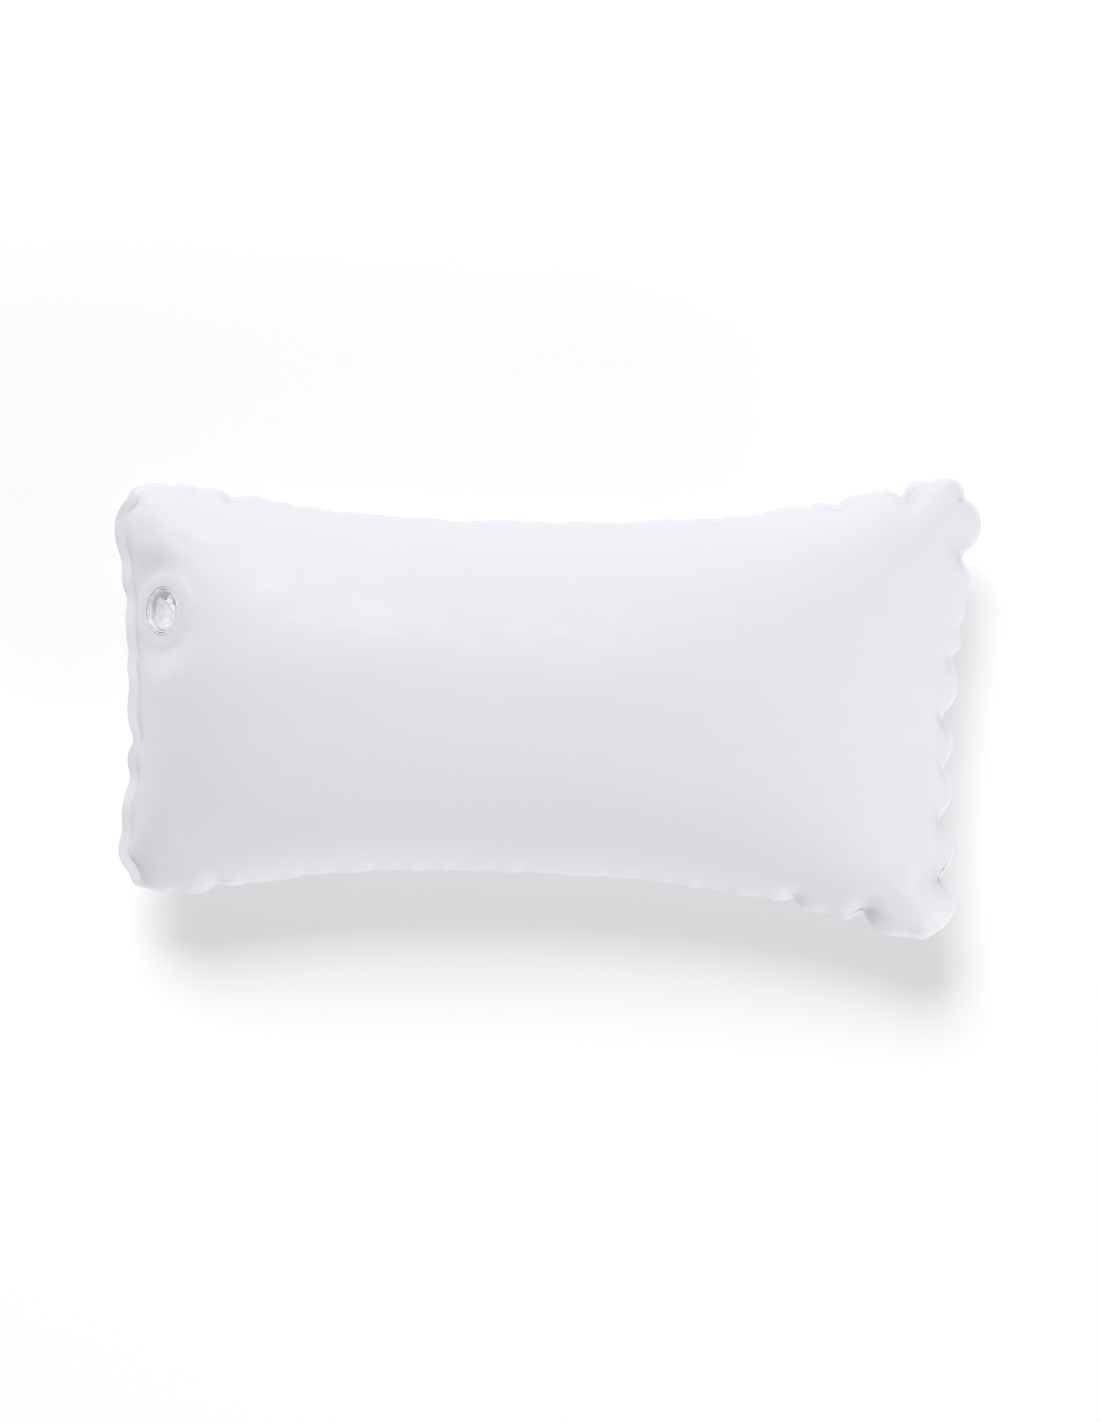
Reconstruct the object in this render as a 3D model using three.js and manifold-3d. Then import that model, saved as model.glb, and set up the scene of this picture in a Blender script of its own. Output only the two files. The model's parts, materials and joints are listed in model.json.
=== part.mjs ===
// An inflatable camp pillow: two PVC sheets welded along their rim, with a push-in air valve near one end.
// Millimetres, +Z up. The origin is the middle of the footprint, on the surface that the pillow lies on.
// +X runs along the pillow, away from the valve, and the valve is on the +Y half of the upper sheet.

import * as THREE from "three";
import { mergeVertices } from "three/addons/utils/BufferGeometryUtils.js";
import Module from "manifold-3d";

// Pillow, blown up. Length and width are those of the rectangle round the weld line before its sides bow in.
const LENGTH = 368;
const WIDTH = 198;
const LENGTH_TAPER = 0.02; // share by which the long side next to the valve is longer than the middle
const WIDTH_TAPER = 0.06; // share by which the far end is wider than the middle, and the valve's end narrower
const CORNER_RADIUS = 36;
const LONG_SIDE_BOW = 29.7; // how far the middle of a long side is drawn in
const FAR_END_BOW = 16;
const VALVE_END_BOW = 13.5;
const BOW_POWER = 2.6; // 2 is an even bow, and more is a straighter middle with flared ends
const WELD_WIDTH = 4.5;
const FILM = 0.4;
const CROWN = 47; // from the weld up to the top of the upper sheet
const REST_DEPTH = 42; // from the weld down to the flat patch that the pillow rests on
const GAP = 0.3; // between pieces that touch

// How the sheets swell, as plain numbers: the powers of the profile along and across the pillow,
// how close to the rim the corners are drawn down, and how full the section is.
const PROFILE_ALONG = 4;
const PROFILE_ACROSS = 2;
const CORNER_DRAW = 6;
const FULLNESS = 0.6;

// Valve seat: a flat spot in the upper sheet, square to the valve's axis, close to the weld of one end.
const VALVE_OFF_CENTRE = 31.5; // along Y
const VALVE_FROM_WELD = 0.8; // to the valve's axis, seen from above, over the radius of its flange
const SEAT_MARGIN = 1.5; // of the flat spot round the valve's flange

// Valve, along its own axis w: 0 is the outside of the film on the seat, and + is out of the pillow.
const STEM_RADIUS = 5.7;
const STEM_HEIGHT = 6;
const STEM_TOP = -3.2;
const STEM_WALL = 1.7;
const STEM_OFF_CENTRE = -1.6; // along the seat's own Y, which leaves room for the strap
const FOOT_OVERHANG = 0.8; // of the stem's foot, which the skirt grips
const FOOT_HEIGHT = 0.8;
const WEB = 1; // wall across the inner end of the bore
const PORT_RIM = 1.5; // of the web round its port
const ROOM_ROUND_STEM = 4.5; // to the edge of the film's hole
const FLANGE_WIDTH = 4.3;
const FLANGE_THICKNESS = 0.8;
const LIP_WIDTH = 0.7;
const LIP_TOP = -0.2;
const SKIRT_WALL = 0.45;
const SKIRT_FULLNESS = 3; // 2 is a round bowl, and more is nearer to a straight-sided cup
const HEAD_OVERHANG = 0.6;
const HEAD_THICKNESS = 1.5;
const HEAD_ROUNDING = 0.4;
const SHANK_END_ROOM = 1; // from the shank's tip to the web
const SHANK_TAPER = 1.3;
const SHANK_WALL = 1;
const TAB_OVERHANG = 2.1; // of the pull tab past the plug's head
const TAB_WIDTH = 4.6;
const TAB_THICKNESS = 0.9;
const TAB_DIRECTION = THREE.MathUtils.degToRad(128);
const COLLAR_WALL = 0.6;
const COLLAR_HEIGHT = 0.9;
const STRAP_DIRECTION = THREE.MathUtils.degToRad(68);
const STRAP_WIDTH = 3.6;
const STRAP_THICKNESS = 0.6;
const STRAP_OVERHANG = 3.5; // of the loop's outside past the stem
const FLAP_OVERLAP = 0.8; // of the check flap's disc round the port
const FLAP_THICKNESS = 0.5;
const FLAP_TAIL_WIDTH = 3;

// Sizes that follow from those above
const HOLE_RADIUS = STEM_RADIUS + ROOM_ROUND_STEM; // in the film
const FLANGE_RADIUS = HOLE_RADIUS + FLANGE_WIDTH;
const BORE_RADIUS = STEM_RADIUS - STEM_WALL;
const PORT_RADIUS = BORE_RADIUS - PORT_RIM;
const STEM_BOTTOM = STEM_TOP - STEM_HEIGHT;
const COLLAR_INNER = STEM_RADIUS + GAP;
const COLLAR_OUTER = COLLAR_INNER + COLLAR_WALL;
const COLLAR_BOTTOM = STEM_TOP - 2 * COLLAR_HEIGHT;
const HEAD_RADIUS = STEM_RADIUS + HEAD_OVERHANG;
const HEAD_BOTTOM = STEM_TOP + GAP;
const HEAD_TOP = HEAD_BOTTOM + HEAD_THICKNESS;
const STRAP_LOW = COLLAR_BOTTOM + COLLAR_HEIGHT / 2; // the middles of the strap's two legs
const STRAP_HIGH = HEAD_BOTTOM + HEAD_THICKNESS / 2;
const STRAP_BEND = (STRAP_HIGH - STRAP_LOW) / 2;
const STRAP_TURN = STEM_RADIUS + STRAP_OVERHANG - STRAP_THICKNESS / 2 - STRAP_BEND;
const FLAP_RADIUS = PORT_RADIUS + FLAP_OVERLAP;
const FLAP_TAIL = (FLAP_RADIUS + STEM_RADIUS) / 2; // from the stem's axis to the flap's hinge

// Fineness of the facets
const PER_LONG_SIDE = 14;
const PER_SHORT_SIDE = 8;
const PER_CORNER = 5;
const RINGS = 9;
const RING_CROWDING = 1.8; // above 1, the rings crowd towards the weld, where the sheet is steep
const ROUND = 32;

const WELD_HEIGHT = REST_DEPTH + GAP / 2; // of the mid-plane between the two sheets
const CUT_PAST = 2; // how far a cutting shape runs past what it cuts

const wasm = await Module();
wasm.setup();

/** A closed geometry as a manifold-3d solid, in the place that the matrix gives it. */
function toSolid(geometry, matrix = new THREE.Matrix4()) {
  const bare = new THREE.BufferGeometry();
  bare.setAttribute("position", geometry.getAttribute("position").clone());
  bare.setIndex(geometry.getIndex());
  bare.applyMatrix4(matrix);
  const merged = mergeVertices(bare, 1e-4);
  return new wasm.Manifold(
    new wasm.Mesh({
      numProp: 3,
      vertProperties: merged.getAttribute("position").array,
      triVerts: new Uint32Array(merged.getIndex().array),
    }),
  );
}

/** A manifold-3d solid as a geometry with flat faces. */
function toGeometry(solid) {
  const mesh = solid.getMesh();
  const geometry = new THREE.BufferGeometry();
  geometry.setAttribute("position", new THREE.BufferAttribute(mesh.vertProperties, 3));
  geometry.setIndex(new THREE.BufferAttribute(mesh.triVerts, 1));
  geometry.computeVertexNormals();
  return geometry;
}

/** A geometry from points and triangles, with the points as Vector3. */
function fromFaces(points, faces) {
  const geometry = new THREE.BufferGeometry().setFromPoints(points);
  geometry.setIndex(faces.flat());
  return geometry;
}

/** The length from the middle to the weld of the end that x is in, at a distance off the centre line. */
function halfLengthAt(y, x) {
  const across = Math.max(-1, Math.min(1, y / (WIDTH / 2)));
  const bow = x < 0 ? VALVE_END_BOW : FAR_END_BOW;
  const bowed = LENGTH / 2 - bow * (1 - Math.abs(across) ** BOW_POWER);
  return bowed * (1 + LENGTH_TAPER * across);
}

/** Half the pillow's width between the welds of its long sides, at a distance from the middle. */
function halfWidthAt(x) {
  const along = Math.max(-1, Math.min(1, x / (LENGTH / 2)));
  const bowed = WIDTH / 2 - LONG_SIDE_BOW * (1 - Math.abs(along) ** BOW_POWER);
  return bowed * (1 + WIDTH_TAPER * along);
}

/** The rim of the pillow, anticlockwise from above: a rounded rectangle whose sides bow in. */
function rimOutline(spread) {
  const halfLength = LENGTH / 2;
  const halfWidth = WIDTH / 2;
  const radius = CORNER_RADIUS + spread;
  const straightX = halfLength + spread - radius;
  const straightY = halfWidth + spread - radius;
  const corners = [
    { x: straightX, y: straightY, run: PER_LONG_SIDE },
    { x: -straightX, y: straightY, run: PER_SHORT_SIDE },
    { x: -straightX, y: -straightY, run: PER_LONG_SIDE },
    { x: straightX, y: -straightY, run: PER_SHORT_SIDE },
  ];
  const outline = [];
  corners.forEach((corner, i) => {
    const next = corners[(i + 1) % corners.length];
    const start = (i * Math.PI) / 2;
    for (let k = 0; k <= PER_CORNER; k++) {
      const angle = start + (k / PER_CORNER) * (Math.PI / 2);
      outline.push(new THREE.Vector2(corner.x, corner.y).add(onCircle(radius, angle)));
    }
    const turned = onCircle(radius, start + Math.PI / 2);
    const from = new THREE.Vector2(corner.x, corner.y).add(turned);
    const to = new THREE.Vector2(next.x, next.y).add(turned);
    for (let k = 1; k < corner.run; k++) {
      outline.push(from.clone().lerp(to, k / corner.run));
    }
  });
  return outline.map(
    ({ x, y }) => new THREE.Vector2((x * halfLengthAt(y, x)) / halfLength, (y * halfWidthAt(x)) / halfWidth),
  );
}

/** The point of a circle round the origin at an angle. */
function onCircle(radius, angle) {
  return new THREE.Vector2(Math.cos(angle), Math.sin(angle)).multiplyScalar(radius);
}

/** How full a point of the pillow is, as a plain number: 1 at the middle and 0 on all four sides. */
function fullness({ x, y }) {
  const along = 1 - Math.min(1, Math.abs(x) / halfLengthAt(y, x)) ** PROFILE_ALONG;
  const across = 1 - Math.min(1, Math.abs(y) / halfWidthAt(x)) ** PROFILE_ACROSS;
  return along * across;
}

/** How much of the crown's height a sheet has, where share runs from 0 at the middle to 1 at the rim. */
function swell(rimPoint, share) {
  const overCorner = fullness(rimPoint) * share ** CORNER_DRAW;
  return Math.max(0, fullness(rimPoint.clone().multiplyScalar(share)) - overCorner) ** FULLNESS;
}

/** The dome of one sheet as a closed geometry, standing on z = 0 and going below it by skirt. */
function dome(spread, crown, ceiling, skirt) {
  const rim = rimOutline(spread);
  const count = rim.length;
  const points = rim.map((p) => new THREE.Vector3(p.x, p.y, -skirt));
  for (let ring = 0; ring < RINGS; ring++) {
    const share = 1 - (ring / RINGS) ** RING_CROWDING;
    for (const p of rim) {
      const height = Math.min(ceiling, crown * swell(p, share));
      points.push(new THREE.Vector3(p.x * share, p.y * share, height));
    }
  }
  const top = points.push(new THREE.Vector3(0, 0, Math.min(ceiling, crown))) - 1;
  const bottom = points.push(new THREE.Vector3(0, 0, -skirt)) - 1;
  const faces = [];
  for (let i = 0; i < count; i++) {
    const j = (i + 1) % count;
    for (let ring = 0; ring < RINGS; ring++) {
      const low = ring * count;
      const high = low + count;
      faces.push([low + i, low + j, high + j], [low + i, high + j, high + i]);
    }
    faces.push([RINGS * count + i, RINGS * count + j, top], [j, i, bottom]);
  }
  return fromFaces(points, faces);
}

/** A plate of the film's thickness over the whole pillow, weld included, standing on z = 0. */
function weldPlate() {
  const shape = new THREE.Shape(rimOutline(WELD_WIDTH));
  return new THREE.ExtrudeGeometry(shape, { depth: FILM, bevelEnabled: false });
}

const SOLE_SKIRT = 0.1; // how far the outer dome's foot sinks into the weld's plate

/** A cylinder along w, from one height to another. */
function cylinder(radius, from, to) {
  const geometry = new THREE.CylinderGeometry(radius, radius, to - from, ROUND);
  geometry.rotateX(Math.PI / 2);
  geometry.translate(0, 0, (from + to) / 2);
  return geometry;
}

/** A solid of revolution about w, from a closed outline of [radius, w] pairs that runs anticlockwise. */
function turned(outline) {
  const closed = [...outline, outline[0]].map(([radius, w]) => new THREE.Vector2(radius, w));
  const geometry = new THREE.LatheGeometry(closed, ROUND);
  geometry.rotateX(Math.PI / 2);
  return geometry;
}

/** Where the valve sits on the upper sheet: a matrix from the valve's own frame to the pillow's. */
function valveFrame(outerDome) {
  const skin = new THREE.Mesh(outerDome, new THREE.MeshBasicMaterial());
  skin.position.z = WELD_HEIGHT + GAP / 2;
  skin.updateMatrixWorld();
  const hit = (from, direction) => new THREE.Raycaster(from, direction).intersectObject(skin)[0].point;
  const spokes = 24;
  const x = VALVE_FROM_WELD * FLANGE_RADIUS - halfLengthAt(VALVE_OFF_CENTRE, -LENGTH / 2);
  const overhead = WELD_HEIGHT + 2 * CROWN;
  const down = new THREE.Vector3(0, 0, -1);
  const probe = VALVE_FROM_WELD * HOLE_RADIUS;
  const spoke = (k) => {
    const p = onCircle(probe, (k / spokes) * 2 * Math.PI);
    return hit(new THREE.Vector3(x + p.x, VALVE_OFF_CENTRE + p.y, overhead), down);
  };
  const centre = hit(new THREE.Vector3(x, VALVE_OFF_CENTRE, overhead), down);
  const normal = new THREE.Vector3();
  for (let k = 0; k < spokes; k++) {
    normal.add(spoke(k).sub(centre).cross(spoke(k + 1).sub(centre)));
  }
  normal.normalize();
  const sideways = new THREE.Vector3(0, 1, 0).addScaledVector(normal, -normal.y).normalize();
  const lengthways = sideways.clone().cross(normal);
  const fall = Math.max(
    ...Array.from({ length: spokes }, (_, k) => {
      const p = onCircle(FLANGE_RADIUS + FILM, (k / spokes) * 2 * Math.PI);
      const over = centre.clone().addScaledVector(lengthways, p.x).addScaledVector(sideways, p.y);
      over.addScaledVector(normal, FLANGE_RADIUS);
      return hit(over, normal.clone().negate()).distanceTo(over) - FLANGE_RADIUS;
    }),
  );
  const seat = centre.addScaledVector(normal, -fall);
  return { frame: new THREE.Matrix4().makeBasis(lengthways, sideways, normal).setPosition(seat), fall };
}

/** The upper sheet, with its half of the weld, the flat seat and the valve's hole. */
function upperSheet(outerDome, valve, fall) {
  const lift = new THREE.Matrix4().makeTranslation(0, 0, WELD_HEIGHT + GAP / 2);
  const seatRadius = FLANGE_RADIUS + SEAT_MARGIN;
  const above = fall + CUT_PAST;
  const spot = toSolid(cylinder(seatRadius, 0, above), valve);
  const spotInside = toSolid(cylinder(seatRadius + FILM, -FILM, above), valve);
  const hole = toSolid(cylinder(HOLE_RADIUS, -CUT_PAST, above), valve);
  const inner = toSolid(dome(-FILM, CROWN - FILM, CROWN, CUT_PAST), lift).subtract(spotInside);
  const outer = toSolid(outerDome, lift).subtract(spot).add(toSolid(weldPlate(), lift));
  return outer.subtract(toSolid(footTrim(), lift)).subtract(inner).subtract(hole);
}

/** The lower sheet, built crown up like the upper one and turned over when it is placed. */
function lowerSheet() {
  const inner = toSolid(dome(-FILM, CROWN - FILM, REST_DEPTH - FILM, CUT_PAST));
  const outer = toSolid(dome(0, CROWN, REST_DEPTH, SOLE_SKIRT)).add(toSolid(weldPlate()));
  return outer.subtract(toSolid(footTrim())).subtract(inner);
}

/** What trims the foot that the outer dome sinks below the weld's plate. */
function footTrim() {
  const shape = new THREE.Shape(rimOutline(WELD_WIDTH + CUT_PAST));
  const slab = new THREE.ExtrudeGeometry(shape, { depth: CUT_PAST, bevelEnabled: false });
  slab.translate(0, 0, -CUT_PAST);
  return slab;
}

/** The washer that is welded under the film round its hole, with a lip that stands in the hole. */
function valveFlange() {
  const top = -FILM - GAP;
  const lipOuter = HOLE_RADIUS - GAP;
  const lipInner = lipOuter - LIP_WIDTH;
  return turned([
    [lipInner, top - FLANGE_THICKNESS],
    [FLANGE_RADIUS, top - FLANGE_THICKNESS],
    [FLANGE_RADIUS, top],
    [lipOuter, top],
    [lipOuter, LIP_TOP],
    [lipInner, LIP_TOP],
  ]);
}

/** The thin soft cuff from the flange's lip down to the stem's foot, folded in with the stem. */
function valveSkirt() {
  const topRadius = HOLE_RADIUS - GAP - LIP_WIDTH - GAP;
  const footRadius = STEM_RADIUS + FOOT_OVERHANG + GAP + SKIRT_WALL;
  const topHeight = LIP_TOP - GAP;
  const steps = 6;
  const ringPoints = (wall) => {
    const rings = [];
    for (let k = 0; k <= steps; k++) {
      const turn = (k / steps) * (Math.PI / 2);
      const inward = 1 - Math.cos(turn) ** (2 / SKIRT_FULLNESS);
      const down = Math.sin(turn) ** (2 / SKIRT_FULLNESS);
      rings.push({
        radius: THREE.MathUtils.lerp(topRadius, footRadius, inward) - wall,
        w: THREE.MathUtils.lerp(topHeight, STEM_BOTTOM, down),
        shift: STEM_OFF_CENTRE * inward,
      });
    }
    return rings;
  };
  const section = [...ringPoints(SKIRT_WALL), ...ringPoints(0).reverse()];
  const points = section.flatMap(({ radius, w, shift }) =>
    Array.from({ length: ROUND }, (_, i) => {
      const p = onCircle(radius, (i / ROUND) * 2 * Math.PI);
      return new THREE.Vector3(p.x, p.y + shift, w);
    }),
  );
  const faces = [];
  section.forEach((_, k) => {
    const low = k * ROUND;
    const high = ((k + 1) % section.length) * ROUND;
    for (let i = 0; i < ROUND; i++) {
      const j = (i + 1) % ROUND;
      faces.push([low + i, low + j, high + j], [low + i, high + j, high + i]);
    }
  });
  return fromFaces(points, faces);
}

/** The tube that the plug closes, with a foot for the skirt and a web with a port at its inner end. */
function valveStem() {
  const footRadius = STEM_RADIUS + FOOT_OVERHANG;
  return turned([
    [PORT_RADIUS, STEM_BOTTOM],
    [footRadius, STEM_BOTTOM],
    [footRadius, STEM_BOTTOM + FOOT_HEIGHT],
    [STEM_RADIUS, STEM_BOTTOM + FOOT_HEIGHT],
    [STEM_RADIUS, STEM_TOP],
    [BORE_RADIUS, STEM_TOP],
    [BORE_RADIUS, STEM_BOTTOM + WEB],
    [PORT_RADIUS, STEM_BOTTOM + WEB],
  ]);
}

/** The ring round the stem that holds the strap's lower end. */
function strapCollar() {
  return turned([
    [COLLAR_INNER, COLLAR_BOTTOM],
    [COLLAR_OUTER, COLLAR_BOTTOM],
    [COLLAR_OUTER, COLLAR_BOTTOM + COLLAR_HEIGHT],
    [COLLAR_INNER, COLLAR_BOTTOM + COLLAR_HEIGHT],
  ]);
}

/** A flat outline in the plane of w and one direction from the stem's axis, as a band of some width. */
function band(shape, width, direction) {
  const geometry = new THREE.ExtrudeGeometry(shape, { depth: width, bevelEnabled: false, curveSegments: 8 });
  geometry.translate(0, 0, -width / 2);
  geometry.rotateX(Math.PI / 2);
  geometry.rotateZ(direction);
  return geometry;
}

/** The folded strap: a leg out from the collar and a half turn, which ends where the plug hangs from it. */
function plugStrap() {
  const half = STRAP_THICKNESS / 2;
  const middle = STRAP_LOW + STRAP_BEND;
  const shape = new THREE.Shape();
  shape.moveTo(STEM_RADIUS, STRAP_LOW - half);
  shape.lineTo(STRAP_TURN, STRAP_LOW - half);
  shape.absarc(STRAP_TURN, middle, STRAP_BEND + half, -Math.PI / 2, Math.PI / 2, false);
  shape.absarc(STRAP_TURN, middle, STRAP_BEND - half, Math.PI / 2, -Math.PI / 2, true);
  shape.lineTo(STEM_RADIUS, STRAP_LOW + half);
  const collar = cylinder(COLLAR_OUTER + GAP, STRAP_LOW - CUT_PAST, middle);
  return toGeometry(toSolid(band(shape, STRAP_WIDTH, STRAP_DIRECTION)).subtract(toSolid(collar)));
}

/** The plug: a hollow shank that fits the bore, a head, a tongue to the strap and a tab to pull it by. */
function valvePlug() {
  const tip = STEM_BOTTOM + WEB + SHANK_END_ROOM;
  const shankRadius = BORE_RADIUS - GAP;
  const tipRadius = shankRadius - SHANK_TAPER;
  const third = (HEAD_BOTTOM - tip) / 3;
  const body = turned([
    [0, HEAD_BOTTOM],
    [tipRadius - SHANK_WALL, HEAD_BOTTOM - SHANK_WALL],
    [tipRadius - SHANK_WALL, tip],
    [tipRadius, tip],
    [shankRadius - SHANK_TAPER / 3, tip + third],
    [shankRadius, HEAD_BOTTOM - third],
    [shankRadius, HEAD_BOTTOM],
    [HEAD_RADIUS - HEAD_ROUNDING, HEAD_BOTTOM],
    [HEAD_RADIUS, HEAD_BOTTOM + HEAD_ROUNDING],
    [HEAD_RADIUS, HEAD_TOP - HEAD_ROUNDING],
    [HEAD_RADIUS - HEAD_ROUNDING, HEAD_TOP],
    [0, HEAD_TOP],
  ]);
  const half = TAB_WIDTH / 2;
  const roundAt = HEAD_RADIUS + TAB_OVERHANG - half;
  const shape = new THREE.Shape();
  shape.moveTo(0, -half);
  shape.lineTo(roundAt, -half);
  shape.absarc(roundAt, 0, half, -Math.PI / 2, Math.PI / 2, false);
  shape.lineTo(0, half);
  const tab = new THREE.ExtrudeGeometry(shape, {
    depth: TAB_THICKNESS,
    bevelEnabled: false,
    curveSegments: 8,
  });
  tab.translate(0, 0, HEAD_TOP - HEAD_ROUNDING - TAB_THICKNESS);
  tab.rotateZ(TAB_DIRECTION);
  const reach = STRAP_TURN - GAP;
  const tongue = new THREE.BoxGeometry(reach, STRAP_WIDTH, STRAP_THICKNESS);
  tongue.translate(reach / 2, 0, STRAP_HIGH);
  tongue.rotateZ(STRAP_DIRECTION);
  return toGeometry(toSolid(body).add(toSolid(tab)).add(toSolid(tongue)));
}

/** The check flap under the stem's port: a disc with a tail that it hangs from. */
function checkFlap() {
  const top = STEM_BOTTOM - GAP;
  const disc = toSolid(cylinder(FLAP_RADIUS, top - FLAP_THICKNESS, top));
  const tail = new THREE.BoxGeometry(FLAP_TAIL, FLAP_TAIL_WIDTH, FLAP_THICKNESS);
  tail.translate(FLAP_TAIL / 2, 0, top - FLAP_THICKNESS / 2);
  return toGeometry(disc.add(toSolid(tail)));
}

/** A named mesh of one of the pillow's materials. */
function piece(name, geometry, material) {
  const mesh = new THREE.Mesh(geometry, material);
  mesh.name = name;
  return mesh;
}

const whiteFilm = new THREE.MeshStandardMaterial({ color: 0xeeeef3, roughness: 0.5 });
const clearVinyl = new THREE.MeshStandardMaterial({
  color: 0xe6e9ec,
  roughness: 0.15,
  transparent: true,
  opacity: 0.45,
});

const pillow = new THREE.Group();
const outerDome = dome(0, CROWN, CROWN, SOLE_SKIRT);
const seat = valveFrame(outerDome);
pillow.add(piece("upper_sheet", toGeometry(upperSheet(outerDome, seat.frame, seat.fall)), whiteFilm));

const lower = piece("lower_sheet", toGeometry(lowerSheet()), whiteFilm);
lower.rotation.x = Math.PI;
lower.position.z = WELD_HEIGHT - GAP / 2;
pillow.add(lower);

const valve = new THREE.Group();
valve.applyMatrix4(seat.frame);
valve.add(piece("valve_flange", valveFlange(), clearVinyl));
valve.add(piece("valve_skirt", valveSkirt(), clearVinyl));
pillow.add(valve);

const stem = new THREE.Group();
stem.position.y = STEM_OFF_CENTRE;
stem.add(piece("valve_stem", valveStem(), clearVinyl));
stem.add(piece("strap_collar", strapCollar(), clearVinyl));
stem.add(piece("plug_strap", plugStrap(), clearVinyl));
stem.add(piece("valve_plug", valvePlug(), clearVinyl));
stem.add(piece("check_flap", checkFlap(), clearVinyl));
valve.add(stem);

// The valve's end bows in less than the far end, so the whole is moved until the origin is in its middle.
pillow.position.x = -new THREE.Box3().setFromObject(pillow, true).getCenter(new THREE.Vector3()).x;

export default pillow;
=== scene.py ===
"""An inflatable camp pillow: two white PVC sheets welded round their rim, with a clear push-in valve.

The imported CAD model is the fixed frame. Everything is in metres, +Z up, with the pillow's footprint on z = 0.
The two sheets are inflated by a short cloth simulation, and the valve's soft parts are turned and swept here.
"""

import json
import logging
import math
from dataclasses import dataclass, field
from enum import Enum

import bmesh
import bpy
import numpy as np
from mathutils import Matrix, Vector, noise
from mathutils.kdtree import KDTree


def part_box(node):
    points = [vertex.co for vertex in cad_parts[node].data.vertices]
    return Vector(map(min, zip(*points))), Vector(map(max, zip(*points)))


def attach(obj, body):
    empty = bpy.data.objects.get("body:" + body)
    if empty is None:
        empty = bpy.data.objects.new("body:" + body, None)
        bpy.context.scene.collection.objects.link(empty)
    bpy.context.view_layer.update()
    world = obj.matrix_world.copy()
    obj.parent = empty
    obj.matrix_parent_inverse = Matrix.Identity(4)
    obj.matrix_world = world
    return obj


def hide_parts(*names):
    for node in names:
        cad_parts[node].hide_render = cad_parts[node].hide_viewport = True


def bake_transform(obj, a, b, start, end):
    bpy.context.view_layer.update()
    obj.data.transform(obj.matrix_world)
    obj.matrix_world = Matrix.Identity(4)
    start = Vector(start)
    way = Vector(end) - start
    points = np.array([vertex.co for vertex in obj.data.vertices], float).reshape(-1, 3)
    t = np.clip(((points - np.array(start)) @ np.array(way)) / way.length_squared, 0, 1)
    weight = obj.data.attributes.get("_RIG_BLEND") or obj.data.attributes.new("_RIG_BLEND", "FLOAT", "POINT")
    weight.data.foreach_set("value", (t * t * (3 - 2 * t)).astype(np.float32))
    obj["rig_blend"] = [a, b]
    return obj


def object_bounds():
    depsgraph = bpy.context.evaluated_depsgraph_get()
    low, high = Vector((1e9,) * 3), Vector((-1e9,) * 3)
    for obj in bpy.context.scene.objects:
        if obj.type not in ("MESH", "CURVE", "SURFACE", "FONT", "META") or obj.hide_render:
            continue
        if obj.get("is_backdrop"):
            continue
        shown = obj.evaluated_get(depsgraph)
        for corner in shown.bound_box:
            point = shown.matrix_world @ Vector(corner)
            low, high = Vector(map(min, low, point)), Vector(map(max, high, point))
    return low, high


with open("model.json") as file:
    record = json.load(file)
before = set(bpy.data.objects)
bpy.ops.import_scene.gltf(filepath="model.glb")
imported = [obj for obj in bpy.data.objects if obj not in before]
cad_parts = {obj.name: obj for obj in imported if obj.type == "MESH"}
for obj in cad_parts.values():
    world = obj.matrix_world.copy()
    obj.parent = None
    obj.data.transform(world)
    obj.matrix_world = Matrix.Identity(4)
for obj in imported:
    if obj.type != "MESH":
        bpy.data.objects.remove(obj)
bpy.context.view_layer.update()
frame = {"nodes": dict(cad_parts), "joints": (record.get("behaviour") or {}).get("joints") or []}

LOG = logging.getLogger("camp_pillow")
MM = 0.001


class Body(Enum):
    """The bodies of the frame that the pieces ride on."""

    SHELL = "shell"
    STEM = "stem"
    STRAP = "strap"
    PLUG = "plug"
    FLAP = "flap"


class Slot(Enum):
    """The record's material slots."""

    FILM = "film"
    VINYL = "clear_vinyl"


class Side(Enum):
    """Which of the two sheets, with the sign of its swell."""

    UPPER = 1
    LOWER = -1


# ----------------------------------------------------------------------------------------------------
# Finishes
# ----------------------------------------------------------------------------------------------------


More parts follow.
